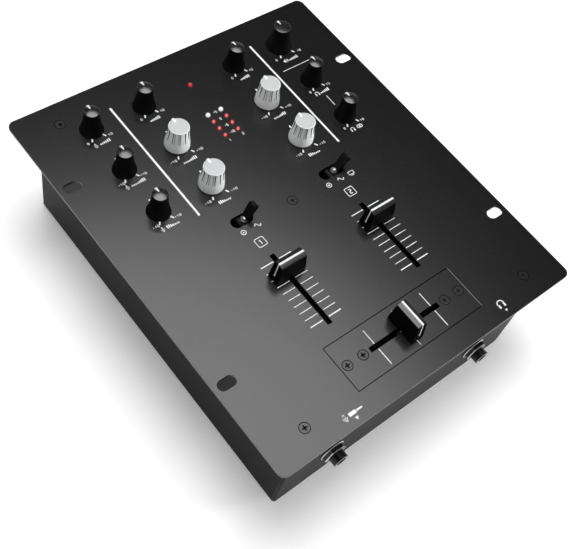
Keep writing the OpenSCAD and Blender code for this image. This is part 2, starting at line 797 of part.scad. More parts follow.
module phono_blocks() {
    block_h = phono_pitch + phono_block_w;
    color([0.06, 0.06, 0.06])
    difference() {
        for (x = PHONO_X) translate([x - phono_block_w / 2, socket_back, rear_z - block_h / 2])
            cube([phono_block_w, phono_block_d, block_h]);
        at_phonos() translate([0, 0, -phono_seat])
            cylinder(r = phono_neck_r + thread_play, h = phono_seat + 1);
    }
}

module phono_shells() {
    color([0.75, 0.75, 0.77])
    at_phonos() difference() {
        union() {
            translate([0, 0, -phono_seat]) cylinder(r = phono_neck_r, h = phono_l);
            translate([0, 0, sheet_t + phono_shoulder])
                cylinder(r = phono_shell_r, h = phono_out - phono_shoulder);
        }
        translate([0, 0, -phono_seat - 1]) cylinder(r = phono_shell_r - phono_shell_t, h = phono_l + 2);
    }
}

module phono_inserts() {
    insert_r = phono_shell_r - phono_shell_t - thread_play;
    insert_l = phono_l - 0.4;
    color([0.85, 0.85, 0.85])
    at_phonos() translate([0, 0, -phono_seat]) difference() {
        cylinder(r = insert_r, h = insert_l);
        translate([0, 0, 1.5]) cylinder(r = phono_hole_r, h = insert_l);
    }
}

module usb_socket() {
    front = wall_out + usb_out;
    color([0.75, 0.75, 0.77])
    translate([usb_x, front, rear_z]) {
        difference() {
            translate([-usb_w / 2, socket_back - front, -usb_h / 2])
                cube([usb_w, front - socket_back, usb_h]);
            translate([0, 1, 0]) rotate([90, 0, 0]) linear_extrude(usb_opening_d + 1) usb_outline();
        }
        translate([-usb_tongue_w / 2, -usb_opening_d - 1, -usb_tongue_h / 2])
            cube([usb_tongue_w, usb_opening_d, usb_tongue_h]);
    }
}

// The plug opening of a square USB socket, with its two upper corners cut off
module usb_outline() {
    cut = 1.6;
    w = usb_opening_w / 2;
    h = usb_opening_h / 2;
    polygon([[-w, -h], [w, -h], [w, h - cut], [w - cut, h], [cut - w, h], [-w, h - cut]]);
}

module power_inlet() {
    front = wall_out + inlet_out;
    socket_d = 9.5;
    housing_w = 2 * inlet_boss_r + 0.4;
    color([0.06, 0.06, 0.06])
    translate([inlet_x, front, rear_z]) {
        difference() {
            union() {
                translate([-housing_w / 2, socket_back - front, -housing_w / 2])
                    cube([housing_w, wall_in - socket_back, housing_w]);
                rotate([90, 0, 0]) cylinder(r = inlet_boss_r, h = front - wall_in + 1);
            }
            translate([0, 1, 0]) rotate([90, 0, 0]) cylinder(r = inlet_r, h = socket_d + 1);
        }
        translate([0, -1, 0]) rotate([90, 0, 0]) cylinder(r = inlet_pin_r, h = socket_d);
    }
}

module power_switch_frame() {
    flange_w = switch_body_w + 2 * switch_flange - 2;
    flange_h = switch_body_h + 2 * switch_flange;
    front = wall_out + switch_flange_t;
    color([0.05, 0.05, 0.05])
    translate([switch_x, 0, rear_z]) difference() {
        union() {
            translate([-flange_w / 2, wall_out, -flange_h / 2]) cube([flange_w, switch_flange_t, flange_h]);
            translate([-switch_body_w / 2, front - switch_depth, -switch_body_h / 2])
                cube([switch_body_w, switch_depth, switch_body_h]);
        }
        translate([-rocker_w / 2, rocker_pivot_y - 4.5, -rocker_h / 2])
            cube([rocker_w, switch_depth, rocker_h]);
        translate([0, rocker_pivot_y, 0]) rotate([0, 90, 0])
            cylinder(r = rocker_pin_r + running_play, h = rocker_w + 2, center = true);
    }
}

module power_rocker() {
    w = rocker_w - 2 * rocker_play;
    r = rocker_h / 2 - rocker_play;
    color([0.08, 0.08, 0.08])
    translate([switch_x, rocker_pivot_y, rear_z]) rotate([rocker_tilt, 0, 0]) {
        rotate([0, 90, 0]) intersection() {
            cylinder(r = r, h = w, center = true);
            translate([0, 0, -w]) linear_extrude(2 * w)
                polygon([[-r, -1.6], [r, -1.6], [r, 4.6], [0, 2.2], [-r, 4.6]]);
        }
        rotate([0, 90, 0]) cylinder(r = rocker_pin_r, h = rocker_w + 1.6, center = true);
    }
}

module ground_post() {
    flange_t = 1.5;
    color([0.78, 0.78, 0.8])
    translate([ground_x, wall_in, rear_z]) {
        translate([0, -1.5, 0]) rotate([-90, 0, 0]) cylinder(r = post_r, h = post_out + sheet_t + 1.5);
        translate([0, -flange_t, 0]) rotate([-90, 0, 0]) cylinder(r = 2 * post_r, h = flange_t, $fn = 6);
    }
}

// Thumb nut with a grooved rim
module ground_nut() {
    groove_count = 18;
    groove_r = 0.45;
    color([0.8, 0.8, 0.82])
    translate([ground_x, wall_out, rear_z]) rotate([-90, 0, 0]) difference() {
        cylinder(r = thumb_r, h = thumb_t);
        translate([0, 0, -1]) cylinder(r = post_r + thread_play, h = thumb_t + 2);
        for (i = [0:groove_count - 1]) rotate(i * 360 / groove_count) translate([thumb_r + 0.1, 0, -1])
            cylinder(r = groove_r, h = thumb_t + 2);
    }
}

// ---------- Shafts and knobs ----------

// Outer radius of a knob at a share t of its height; a high bend flares the foot, none gives an S
function knob_radius(base_r, top_r, t, bend) =
    top_r + (base_r - top_r) * (bend > 0 ? pow(1 - t, bend) : (1 + cos(180 * t)) / 2);

// A D-shaped bar along Z, with its flat towards the player from a height up
module d_bar(r, h, flat_z) {
    difference() {
        cylinder(r = r, h = h);
        translate([-r - 1, -r - 1, flat_z]) cube([2 * r + 2, r + 1 - flat_in - (r - shaft_r), h]);
    }
}

module shaft(place, knob_h) {
    foot = board_z + 1.2;
    knob_foot = panel_z + knob_gap;
    color([0.78, 0.79, 0.8])
    translate([place[0], place[1], foot])
        d_bar(shaft_r, knob_foot + knob_h - knob_skin - foot, knob_foot + flat_from - foot);
}

// Turned body of a knob with its foot at z = 0, hollow under its flared foot
module knob_body(base_r, top_r, h, bend, crown) {
    steps = 10;
    side_h = h - crown - knob_edge_r;
    lip = top_r - knob_edge_r;
    dome = [for (i = [1:3]) [lip * (1 - i / 3), h - crown * pow(1 - i / 3, 2)]];
    side = [for (i = [0:steps]) [knob_radius(base_r, top_r, i / steps, bend), side_h * i / steps]];
    inner = [for (i = [0:3]) let (z = hollow_h * i / 3)
        [max(hub_r, knob_radius(base_r, top_r, z / side_h, bend) - knob_wall), z]];
    difference() {
        rotate_extrude() polygon(concat([[0, 0]], side, arc(lip, side_h, knob_edge_r, 30, 90, 2),
            crown > 0 ? dome : [[0, h]]));
        rotate_extrude() polygon(concat([[hub_r, -1], [inner[0][0], -1]], inner, [[hub_r, hollow_h]]));
        translate([0, 0, -1]) d_bar(shaft_r + knob_play, h - knob_skin + 1 + knob_play, flat_from + 1);
    }
}

// Black knob at a place: flared foot and domed top
module black_knob(place, base_r, top_r, h) {
    color([0.05, 0.05, 0.05])
    translate([place[0], place[1], panel_z + knob_gap]) knob_body(base_r, top_r, h, 2, knob_crown);
}

module small_knob(place) black_knob(place, small_knob_base_r, small_knob_top_r, small_knob_h);

// White tone knob at a place: S-shaped side, grip grooves that fade out downwards, pointer rib
module tone_knob(place) {
    groove_r = 0.45;
    groove_lean = atan(2 / 9);
    nib_w = 1.4;
    nib_l = 3;
    nib_h = 0.4;
    nib_out = 0.3;
    color([0.9, 0.9, 0.88])
    translate([place[0], place[1], panel_z + knob_gap]) {
        difference() {
            knob_body(tone_knob_base_r, tone_knob_top_r, tone_knob_h, 0, 0);
            for (i = [0:tone_groove_count - 1]) rotate(-90 + i * 360 / tone_groove_count)
                translate([tone_knob_top_r + groove_r - tone_groove_depth, 0, tone_knob_h])
                rotate([0, -groove_lean, 0]) translate([0, 0, -tone_knob_h])
                cylinder(r = groove_r, h = tone_knob_h + 2);
        }
        translate([0, tone_knob_top_r + nib_out - nib_l / 2, tone_knob_h - nib_h])
            block(nib_w, nib_l, 2 * nib_h);
    }
}

module mic_gain_shaft() shaft(MIC_GAIN, small_knob_h);
module mic_treble_shaft() shaft(MIC_TREBLE, small_knob_h);
module mic_bass_shaft() shaft(MIC_BASS, small_knob_h);
module gain_1_shaft() shaft(GAIN_1, small_knob_h);
module treble_1_shaft() shaft(TREBLE_1, tone_knob_h);
module bass_1_shaft() shaft(BASS_1, tone_knob_h);
module gain_2_shaft() shaft(GAIN_2, small_knob_h);
module treble_2_shaft() shaft(TREBLE_2, tone_knob_h);
module bass_2_shaft() shaft(BASS_2, tone_knob_h);
module master_shaft() shaft(MASTER, master_knob_h);
module cue_gain_shaft() shaft(CUE_GAIN, small_knob_h);
module cue_mix_shaft() shaft(CUE_MIX, small_knob_h);

module mic_gain_knob() small_knob(MIC_GAIN);
module mic_treble_knob() small_knob(MIC_TREBLE);
module mic_bass_knob() small_knob(MIC_BASS);
module gain_1_knob() small_knob(GAIN_1);
module treble_1_knob() tone_knob(TREBLE_1);
module bass_1_knob() tone_knob(BASS_1);
module gain_2_knob() small_knob(GAIN_2);
module treble_2_knob() tone_knob(TREBLE_2);
module bass_2_knob() tone_knob(BASS_2);
module master_knob() black_knob(MASTER, master_knob_base_r, master_knob_top_r, master_knob_h);
module cue_gain_knob() small_knob(CUE_GAIN);
module cue_mix_knob() small_knob(CUE_MIX);

chassis();
top_panel();
crossfader_plate();
crossfader_brackets();
feet();
panel_screws();
board_pillars();
main_board();
pot_bodies();
channel_fader_frames();
crossfader_frame();
channel_1_carriage();
channel_1_cap();
channel_2_carriage();
channel_2_cap();
crossfader_carriage();
crossfader_cap();
toggle_bodies();
toggle_1_lever();
toggle_2_lever();
red_lights();
white_lights();
jack_bodies();
jack_ferrules();
jack_washers();
jack_nuts();
rear_board();
phono_blocks();
phono_shells();
phono_inserts();
usb_socket();
power_inlet();
power_switch_frame();
power_rocker();
ground_post();
ground_nut();
mic_gain_shaft();
mic_gain_knob();
mic_treble_shaft();
mic_treble_knob();
mic_bass_shaft();
mic_bass_knob();
gain_1_shaft();
gain_1_knob();
treble_1_shaft();
treble_1_knob();
bass_1_shaft();
bass_1_knob();
gain_2_shaft();
gain_2_knob();
treble_2_shaft();
treble_2_knob();
bass_2_shaft();
bass_2_knob();
master_shaft();
master_knob();
cue_gain_shaft();
cue_gain_knob();
cue_mix_shaft();
cue_mix_knob();
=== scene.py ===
"""Looks of the two-channel DJ mixer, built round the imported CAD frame: paint, plastic and metal
finishes, panel printing, knobs, fader caps, lights, screws and sockets. Lengths are in millimetres
unless a name says otherwise, in the part's own frame: +X to the player's right, +Y to the rear,
+Z up."""

import math

import bmesh
import bpy
from mathutils import Matrix, Vector


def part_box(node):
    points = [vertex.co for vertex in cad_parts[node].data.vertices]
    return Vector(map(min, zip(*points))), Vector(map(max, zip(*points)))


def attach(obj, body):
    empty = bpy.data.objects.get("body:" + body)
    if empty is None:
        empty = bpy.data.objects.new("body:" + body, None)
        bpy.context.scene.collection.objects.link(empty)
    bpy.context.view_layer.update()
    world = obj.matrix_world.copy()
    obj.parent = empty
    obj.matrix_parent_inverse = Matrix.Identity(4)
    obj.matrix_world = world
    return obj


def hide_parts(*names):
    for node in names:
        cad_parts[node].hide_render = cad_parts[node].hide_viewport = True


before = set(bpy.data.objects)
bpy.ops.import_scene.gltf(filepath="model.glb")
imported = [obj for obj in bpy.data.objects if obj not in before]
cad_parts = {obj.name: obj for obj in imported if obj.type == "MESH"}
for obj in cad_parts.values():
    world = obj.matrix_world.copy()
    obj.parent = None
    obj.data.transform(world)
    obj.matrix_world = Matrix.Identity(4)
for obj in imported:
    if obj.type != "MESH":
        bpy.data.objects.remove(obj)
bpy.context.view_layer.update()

MM = 0.001
INK = 0.03  # thickness of printed ink
SUNK = 0.02  # how far an inlay reaches into what carries it
ROUND = 96  # segments round a turned piece
ROUGH_VARY = 0.05  # how far a finish's roughness strays to either side


# ---------- Places taken from the frame ----------

def low(node):
    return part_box(node)[0] / MM


def high(node):
    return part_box(node)[1] / MM


def middle(node):
    return (low(node) + high(node)) / 2


def radius_of(node):
    return (high(node).x - low(node).x) / 2


PANEL_TOP = high("top_panel").z
SMALL_KNOBS = ["mic_gain", "mic_treble", "mic_bass", "gain_1", "gain_2", "cue_gain", "cue_mix"]
TONE_KNOBS = ["treble_1", "bass_1", "treble_2", "bass_2"]
ALL_KNOBS = SMALL_KNOBS + ["master"] + TONE_KNOBS
CENTRE_ZERO = ["mic_treble", "mic_bass"] + TONE_KNOBS
PLACE = {name: middle(name + "_knob") for name in ALL_KNOBS}


# ---------- Materials ----------

def new_material(name):
    """A node material with its Principled shader, and the object coordinates of what wears it."""
    mat = bpy.data.materials.new(name)
    mat.use_nodes = True
    tree = mat.node_tree
    shader = tree.nodes["Principled BSDF"]
    place = tree.nodes.new("ShaderNodeTexCoord").outputs["Object"]
    return mat, tree, shader, place


def noise(tree, place, scale, detail=2.0, stretch=None):
    """Noise on object coordinates, so its grain is a real size: scale is in cycles a metre."""
    if stretch:
        mapping = tree.nodes.new("ShaderNodeMapping")
        mapping.inputs["Scale"].default_value = stretch
        tree.links.new(place, mapping.inputs["Vector"])
        place = mapping.outputs["Vector"]
    node = tree.nodes.new("ShaderNodeTexNoise")
    node.inputs["Scale"].default_value = scale
    node.inputs["Detail"].default_value = detail
    tree.links.new(place, node.inputs["Vector"])
    return node.outputs["Fac"]


def spread(tree, value, low_end, high_end):
    """Maps a 0 to 1 value onto a range."""
    node = tree.nodes.new("ShaderNodeMapRange")
    node.inputs["From Min"].default_value = 0.3
    node.inputs["From Max"].default_value = 0.7
    node.inputs["To Min"].default_value = low_end
    node.inputs["To Max"].default_value = high_end
    tree.links.new(value, node.inputs["Value"])
    return node.outputs["Result"]


def shade(tree, value, dark, light):
    """A colour between dark and light by a 0 to 1 value."""
    node = tree.nodes.new("ShaderNodeValToRGB")
    node.color_ramp.elements[0].position = 0.35
    node.color_ramp.elements[0].color = (*dark, 1)
    node.color_ramp.elements[1].position = 0.65
    node.color_ramp.elements[1].color = (*light, 1)
    tree.links.new(value, node.inputs["Fac"])
    return node.outputs["Color"]


def bump(tree, shader, value, height, previous=None):
    """Adds a bump of a real height, in metres, to the shader's normal."""
    node = tree.nodes.new("ShaderNodeBump")
    node.inputs["Strength"].default_value = 1
    node.inputs["Distance"].default_value = height
    tree.links.new(value, node.inputs["Height"])
    if previous:
        tree.links.new(previous, node.inputs["Normal"])
    tree.links.new(node.outputs["Normal"], shader.inputs["Normal"])
    return node.outputs["Normal"]


def finish(name, colour, rough, metallic=0.0, specular=0.5, vary=0.12, mottle=60, grain=2500,
           grain_height=4e-6, stretch=None):
    """A surface finish: a colour with slow mottling, roughness that varies, and a fine grain."""
    mat, tree, shader, place = new_material(name)
    slow = noise(tree, place, mottle, 3)
    fine = noise(tree, place, grain, 2, stretch)
    dark = [c * (1 - vary) for c in colour]
    light = [min(1, c * (1 + vary)) for c in colour]
    tree.links.new(shade(tree, slow, dark, light), shader.inputs["Base Color"])
    uneven = spread(tree, fine, rough - ROUGH_VARY, rough + ROUGH_VARY)
    tree.links.new(uneven, shader.inputs["Roughness"])
    bump(tree, shader, fine, grain_height)
    shader.inputs["Metallic"].default_value = metallic
    shader.inputs["Specular IOR Level"].default_value = specular
    return mat


def painted_steel(name, colour, rough, specular):
    """Satin powder coat: fine orange peel over a slower unevenness."""
    mat, tree, shader, place = new_material(name)
    peel = noise(tree, place, 1400, 2)
    sand = noise(tree, place, 5200, 1)
    slow = noise(tree, place, 25, 2)
    dark = [c * 0.94 for c in colour]
    light = [c * 1.06 for c in colour]
    tree.links.new(shade(tree, slow, dark, light), shader.inputs["Base Color"])
    tree.links.new(spread(tree, sand, rough - 0.03, rough + 0.03), shader.inputs["Roughness"])
    first = bump(tree, shader, peel, 3e-6)
    bump(tree, shader, sand, 1.5e-6, first)
    shader.inputs["Specular IOR Level"].default_value = specular
    return mat


def glossy_near(name, colour, spot, reach, rough, specular):
    """Satin black that is glossier within reach of a spot in the piece's own space."""
    mat, tree, shader, place = new_material(name)
    span = tree.nodes.new("ShaderNodeVectorMath")
    span.operation = "DISTANCE"
    tree.links.new(place, span.inputs[0])
    span.inputs[1].default_value = spot
    near = tree.nodes.new("ShaderNodeMath")
    near.operation = "LESS_THAN"
    tree.links.new(span.outputs["Value"], near.inputs[0])
    near.inputs[1].default_value = reach
    slow = noise(tree, place, 90)
    tree.links.new(shade(tree, slow, [c * 0.85 for c in colour], [c * 1.15 for c in colour]),
                   shader.inputs["Base Color"])
    tree.links.new(spread(tree, near.outputs[0], *rough), shader.inputs["Roughness"])
    tree.links.new(spread(tree, near.outputs[0], *specular), shader.inputs["Specular IOR Level"])
    tree.links.new(spread(tree, near.outputs[0], 1.5, 2.2), shader.inputs["IOR"])
    return mat


def lens(name, colour, glow, strength):
    """A tinted light lens that glows from inside, brighter in its middle."""
    mat, tree, shader, place = new_material(name)
    facing = tree.nodes.new("ShaderNodeLayerWeight")
    facing.inputs["Blend"].default_value = 0.85
    tree.links.new(shade(tree, facing.outputs["Facing"], glow, colour), shader.inputs["Emission Color"])
    tree.links.new(shade(tree, noise(tree, place, 900), colour, [c * 0.9 for c in colour]),
                   shader.inputs["Base Color"])
    shader.inputs["Emission Strength"].default_value = strength
    shader.inputs["Roughness"].default_value = 0.18
    shader.inputs["Coat Weight"].default_value = 0.5
    return mat


def two_tone(name, below, above, split_z):
    """Moulded plastic in two colours that meet at one height, in metres."""
    mat, tree, shader, place = new_material(name)
    height = tree.nodes.new("ShaderNodeSeparateXYZ")
    tree.links.new(place, height.inputs[0])
    over = tree.nodes.new("ShaderNodeMath")
    over.operation = "GREATER_THAN"
    over.inputs[1].default_value = split_z
    tree.links.new(height.outputs["Z"], over.inputs[0])
    tree.links.new(shade(tree, over.outputs[0], below, above), shader.inputs["Base Color"])
    tree.links.new(spread(tree, noise(tree, place, 2500), 0.34, 0.46), shader.inputs["Roughness"])
    return mat


PAINT = painted_steel("panel_paint", (0.0032, 0.0032, 0.0038), 0.25, 0.5)
CASE_PAINT = painted_steel("case_paint", (0.004, 0.004, 0.0045), 0.36, 0.04)
INK_WHITE = finish("white_ink", (0.9, 0.9, 0.91), 0.55, vary=0.02, grain=4000, grain_height=1e-6)
BLACK_PLASTIC = finish("black_plastic", (0.0035, 0.0035, 0.0037), 0.30, specular=0.6, vary=0.15,
                       grain=3500, grain_height=2e-6)
BLACK_MATT = finish("matt_black_plastic", (0.004, 0.004, 0.0042), 0.6, specular=0.3, vary=0.15,
                    grain=3500)
BLACK_GLOSS = finish("black_gloss", (0.0025, 0.0025, 0.0027), 0.26, specular=0.85, vary=0.1,
                     grain=1500, grain_height=6e-7)
BLACK_SATIN = finish("black_satin", (0.0012, 0.0012, 0.0013), 0.42, specular=0.12, vary=0.15,
                     grain=2800)
WHITE_PLASTIC = finish("white_plastic", (0.84, 0.86, 0.85), 0.35, vary=0.015, grain=3000,
                       grain_height=1.5e-6)
# Painted shade: the tone knobs' flat tops are a darker white than their sides, with a coarser texture
TONE_TOP_PAINTED_SHADE = finish("textured_white_top_painted_shade", (0.54, 0.56, 0.56), 0.55, vary=0.06, mottle=2600,
                   grain=3600, grain_height=1.2e-5)
GROOVE_SHADE = finish("shaded_groove", (0.035, 0.036, 0.036), 0.7, vary=0.05)
WHITE_LINE = finish("pointer_white", (0.8, 0.8, 0.8), 0.45, vary=0.02, grain=3000, grain_height=1e-6)
# Painted shade: near-black for lines laid where slots, seams and screw recesses fall into shadow
GAP_PAINTED_SHADE = finish("painted_gap_shade", (0.001, 0.001, 0.001), 0.9, specular=0.0, vary=0.1)
# Painted highlight: light grey for a line that stands in for an edge catching the light
EDGE_GLINT = finish("painted_edge_highlight", (0.22, 0.22, 0.22), 0.5, vary=0.1)
BLACK_RUBBER = finish("black_rubber", (0.012, 0.012, 0.012), 0.8, vary=0.2, grain=3000,
                      grain_height=8e-6)
SCREW_BLACK = finish("black_oxide_steel", (0.005, 0.005, 0.0055), 0.3, vary=0.15, grain=3500)
CHROME = finish("bright_nickel", (0.78, 0.78, 0.8), 0.16, metallic=1.0, vary=0.03, grain=1800,
                grain_height=8e-7)
DARK_NICKEL = finish("black_nickel", (0.12, 0.12, 0.125), 0.3, metallic=1.0, vary=0.08, grain=1800)
ZINC = finish("black_zinc_plate", (0.05, 0.051, 0.053), 0.38, metallic=1.0, mottle=300, grain=2200)
BRUSHED = finish("drawn_steel", (0.6, 0.6, 0.61), 0.3, metallic=1.0, grain=2500, stretch=(1, 1, 0.05))
BOARD = finish("green_board", (0.012, 0.075, 0.03), 0.4, vary=0.2, mottle=400, grain=4000)
POT_GREY = finish("pot_housing", (0.09, 0.1, 0.115), 0.45, vary=0.1, grain=2500)
INSERT_RED = (0.55, 0.02, 0.02)
INSERT_WHITE = (0.78, 0.78, 0.76)
RED_LENS = lens("red_lens", (0.16, 0.004, 0.008), (1.0, 0.2, 0.22), 0.85)
DIM_RED_LENS = lens("dim_red_lens", (0.35, 0.01, 0.012), (0.95, 0.1, 0.1), 0.45)
WHITE_LENS = lens("white_lens", (0.5, 0.5, 0.51), (1.0, 1.0, 1.0), 0.65)


# ---------- Mesh helpers ----------

def new_piece(name, verts, faces, mat, body, smooth_angle=None):
    """A mesh piece from points in millimetres, riding on a body."""
    mesh = bpy.data.meshes.new(name)
    mesh.from_pydata([Vector(v) * MM for v in verts], [], faces)
    mesh.validate()
    shaped = bmesh.new()
    shaped.from_mesh(mesh)
    bmesh.ops.remove_doubles(shaped, verts=shaped.verts, dist=1e-7)
    bmesh.ops.recalc_face_normals(shaped, faces=shaped.faces)
    shaped.to_mesh(mesh)
    shaped.free()
    piece = bpy.data.objects.new(name, mesh)
    bpy.context.scene.collection.objects.link(piece)
    mesh.materials.append(mat)
    if smooth_angle is not None:
        mesh.shade_smooth()
        mesh.set_sharp_from_angle(angle=math.radians(smooth_angle))
    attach(piece, body)
    return piece


def arc(cx, cy, r, start, end, steps):
    """Points of an arc, with its angles in degrees."""
    angles = [math.radians(start + (end - start) * i / steps) for i in range(steps + 1)]
    return [(cx + r * math.cos(a), cy + r * math.sin(a)) for a in angles]


def lathe(profile, radius=None, segments=ROUND):
    """Turns a closed or open (r, z) profile about Z. radius(r, z, angle) may change a ring's shape."""
    verts, faces = [], []
    for r, z in profile:
        for k in range(segments):
            a = 2 * math.pi * k / segments
            rr = radius(r, z, a) if radius else r
            verts.append((rr * math.cos(a), rr * math.sin(a), z))
    for i in range(len(profile) - 1):
        for k in range(segments):
            n = (k + 1) % segments
            here, above = i * segments, (i + 1) * segments
            faces.append((here + k, here + n, above + n, above + k))
    return verts, faces


def moved(verts, by):
    """Points moved to a place."""
    return [Vector(v) + Vector(by) for v in verts]


def turned(outline, at):
    """Points and faces of a turned piece that stands at a place."""
    verts, faces = lathe(outline)
    return moved(verts, at), faces


def soften(piece, width, segments):
    """Rounds a piece's sharp edges by a width in millimetres."""
    edge = piece.modifiers.new("soft_edges", "BEVEL")
    edge.width = width * MM
    edge.segments = segments
    edge.limit_method = "ANGLE"
    edge.angle_limit = math.radians(25)
    edge.harden_normals = True
    piece.data.shade_smooth()


# ---------- Knobs ----------

SOCKET_R = 4.2  # recess under a knob
SOCKET_DEEP = 4
FOOT_ROUND = 0.15  # chamfer round a knob's foot


def side_stripe(profile, widths, proud, top):
    """A raised line along a knob's (r, z) outline towards +Y, with its width and rise at each point."""
    verts, faces = [], []
    for i, ((r, z), width, rise) in enumerate(zip(profile, widths, proud)):
        before = profile[max(i - 1, 0)]
        after = profile[min(i + 1, len(profile) - 1)]
        along = Vector((after[0] - before[0], after[1] - before[1])).normalized()
        out = Vector((along.y, -along.x))
        for depth in (rise, -0.15):
            for x in (-width / 2, width / 2):
                rr = math.sqrt(max(r * r - x * x, 0)) + out.x * depth
                verts.append((x, rr, min(z + out.y * depth, top)))
    for i in range(len(profile) - 1):
        a, b = 4 * i, 4 * (i + 1)
        faces += [(a, a + 1, b + 1, b), (a + 2, b + 2, b + 3, a + 3),
                  (a, b, b + 2, a + 2), (a + 1, a + 3, b + 3, b + 1)]
    last = 4 * (len(profile) - 1)
    faces += [(0, 2, 3, 1), (last, last + 1, last + 3, last + 2)]
    return verts, faces


def knob_place(name):
    """Middle of a knob's foot, from its round shaft's sides."""
    shaft = name + "_shaft"
    return (middle(shaft).x, high(shaft).y - radius_of(shaft), low(name + "_knob").z)


def knob_foot(base_r, lip):
    """Underside of a knob: a socket with a sloped mouth, then a flat rim."""
    return [(0, SOCKET_DEEP), (SOCKET_R, SOCKET_DEEP), (SOCKET_R, lip), (base_r - 1, 0),
            (base_r - FOOT_ROUND, 0), (base_r, FOOT_ROUND)]


def black_knob(name):
    """Flared black knob with a crisp rim, a glossy domed top and a white pointer over its edge."""
    node = name + "_knob"
    base_r = radius_of(node)
    height = high(node).z - low(node).z
    top_r = base_r * (0.627 if name == "master" else 0.652)
    rim_r = 0.4
    crown = 0.35 if name == "master" else 0.65
    side_h = height - crown - rim_r
    flare = [(top_r + (base_r - top_r) * (1 - t) ** 2, side_h * t) for t in [i / 20 for i in range(21)]]
    rim = arc(top_r - rim_r, side_h, rim_r, 8, 78, 5)
    dome_r = rim[-1][0]
    dome = [(dome_r * (1 - t), rim[-1][1] + crown * (1 - (1 - t) ** 2))
            for t in [i / 9 for i in range(1, 10)]]
    at = knob_place(name)
    outline = knob_foot(base_r, 0.4) + flare[1:] + rim + dome
    body = new_piece(name + "_cap", *turned(outline, at), BLACK_SATIN, name, 42)
    body.data.materials.append(BLACK_GLOSS)
    for face in body.data.polygons:
        face.material_index = 1 if face.center.z / MM > at[2] + side_h + 0.6 * rim_r else 0
    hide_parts(node)
    down = [p for p in flare if p[1] > 3]
    tip = [(top_r - 0.4 - 0.35 * i, height - crown + crown * (i / 9) ** 0.6) for i in range(1, 9)]
    over = down + rim + tip
    taper = [1 - i / len(tip) for i in range(1, len(tip) + 1)]
    widths = [0.8] * len(down) + [1.45] * len(rim) + [0.45 + 1.0 * t for t in taper]
    rises = [0.12] * len(down) + [0.38] * len(rim) + [0.1 + 0.25 * t for t in taper]
    verts, faces = side_stripe(over, widths, rises, height)
    line = new_piece(name + "_pointer", moved(verts, at), faces, WHITE_LINE, name, 40)


def tone_knob(name):
    """White tone knob: S-shaped side, grooves that fade out downwards, flat top and a raised pointer."""
    node = name + "_knob"
    base_r = radius_of(node)
    top_r = base_r * 0.804
    nib_high = 0.4
    height = high(node).z - low(node).z - nib_high
    edge_r = 0.45
    grooves = 12
    groove_deep = 0.5
    groove_half = math.radians(6.4)
    groove_end = 0.3
    groove_top = height - 0.6

    def side(t):
        return top_r + (base_r - top_r) * (1 + math.cos(math.pi * min(1, t * 1.04))) / 2

    def groove(z, a):
        """Share of the groove's depth at a height and turn, and how deep a groove is at that height."""
        if z < groove_end * height or z > groove_top:
            return 0, 0
        turn = (a - math.pi / 2) * grooves / (2 * math.pi)
        off = abs(turn - round(turn)) * 2 * math.pi / grooves
        fade = min(1, (z / height - groove_end) / 0.5) ** 0.8
        return max(0, min(1, (1 - off / groove_half) / 0.45)), fade

    def fluted(r, z, a):
        share, fade = groove(z, a)
        return r - groove_deep * fade * share

    sides = [(side(t), (height - edge_r) * t) for t in [i / 36 for i in range(37)]]
    edge = arc(top_r - edge_r, height - edge_r, edge_r, 8, 90, 5)
    crown = [(top_r - 0.9, height), (top_r - 1.3, height), (2.5, height + 0.04), (0, height + 0.05)]
    at = knob_place(name)
    verts, faces = lathe(knob_foot(base_r, 0.3) + sides[1:] + edge + crown, fluted, grooves * 32)
    body = new_piece(name + "_cap", moved(verts, at), faces, WHITE_PLASTIC, name, 48)
    for mat in (TONE_TOP_PAINTED_SHADE, GROOVE_SHADE):
        body.data.materials.append(mat)
    for face in body.data.polygons:
        spot = face.center / MM - Vector(at)
        reach = math.hypot(spot.x, spot.y)
        share, fade = groove(spot.z, math.atan2(spot.y, spot.x))
        # Painted shade: the flat top wears the darker white, and the groove walls near-black
        if spot.z > height - 0.02 and reach < top_r - edge_r + 0.1:
            face.material_index = 1
        elif 0.05 < share < 0.95 and fade > 0.35 and reach > base_r * 0.6:
            face.material_index = 2
    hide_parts(node)
    nib_wide, nib_long, nib_out = 0.8, 2.7, 0.28
    out, end = top_r + nib_out, top_r - nib_long
    top = height + nib_high
    verts = [(x, y, z) for x in (-nib_wide, nib_wide)
             for y, z in ((out, height - 2.2), (out, top), (end, height + 0.12), (end, height - 0.6))]
    nib = new_piece(name + "_nib", moved(verts, at),
                    [(0, 1, 2, 3), (7, 6, 5, 4), (0, 4, 5, 1), (1, 5, 6, 2), (2, 6, 7, 3), (3, 7, 4, 0)],
                    WHITE_PLASTIC, name)
    soften(nib, 0.22, 3)


for knob in SMALL_KNOBS + ["master"]:
    black_knob(knob)
for knob in TONE_KNOBS:
    tone_knob(knob)


# ---------- Fader caps ----------

CAPS = {"channel_1": False, "channel_2": False, "crossfader": True}
SHOULDER_DROP = 1.1  # from a cap's ridge down to its shoulders


def turn_points(points, quarter):
    """Points as they are, or turned a quarter round Z."""
    return [(-y, x, z) for x, y, z in points] if quarter else points


def prism(rings):
    """Faces that join rings of four points, with the last ring closed."""
    faces = []
    for level in range(rings - 1):
        for k in range(4):
            n = (k + 1) % 4
            faces.append((4 * level + k, 4 * level + n, 4 * level + 4 + n, 4 * level + 4 + k))
    last = 4 * (rings - 1)
    faces.append((last, last + 1, last + 2, last + 3))
    return faces


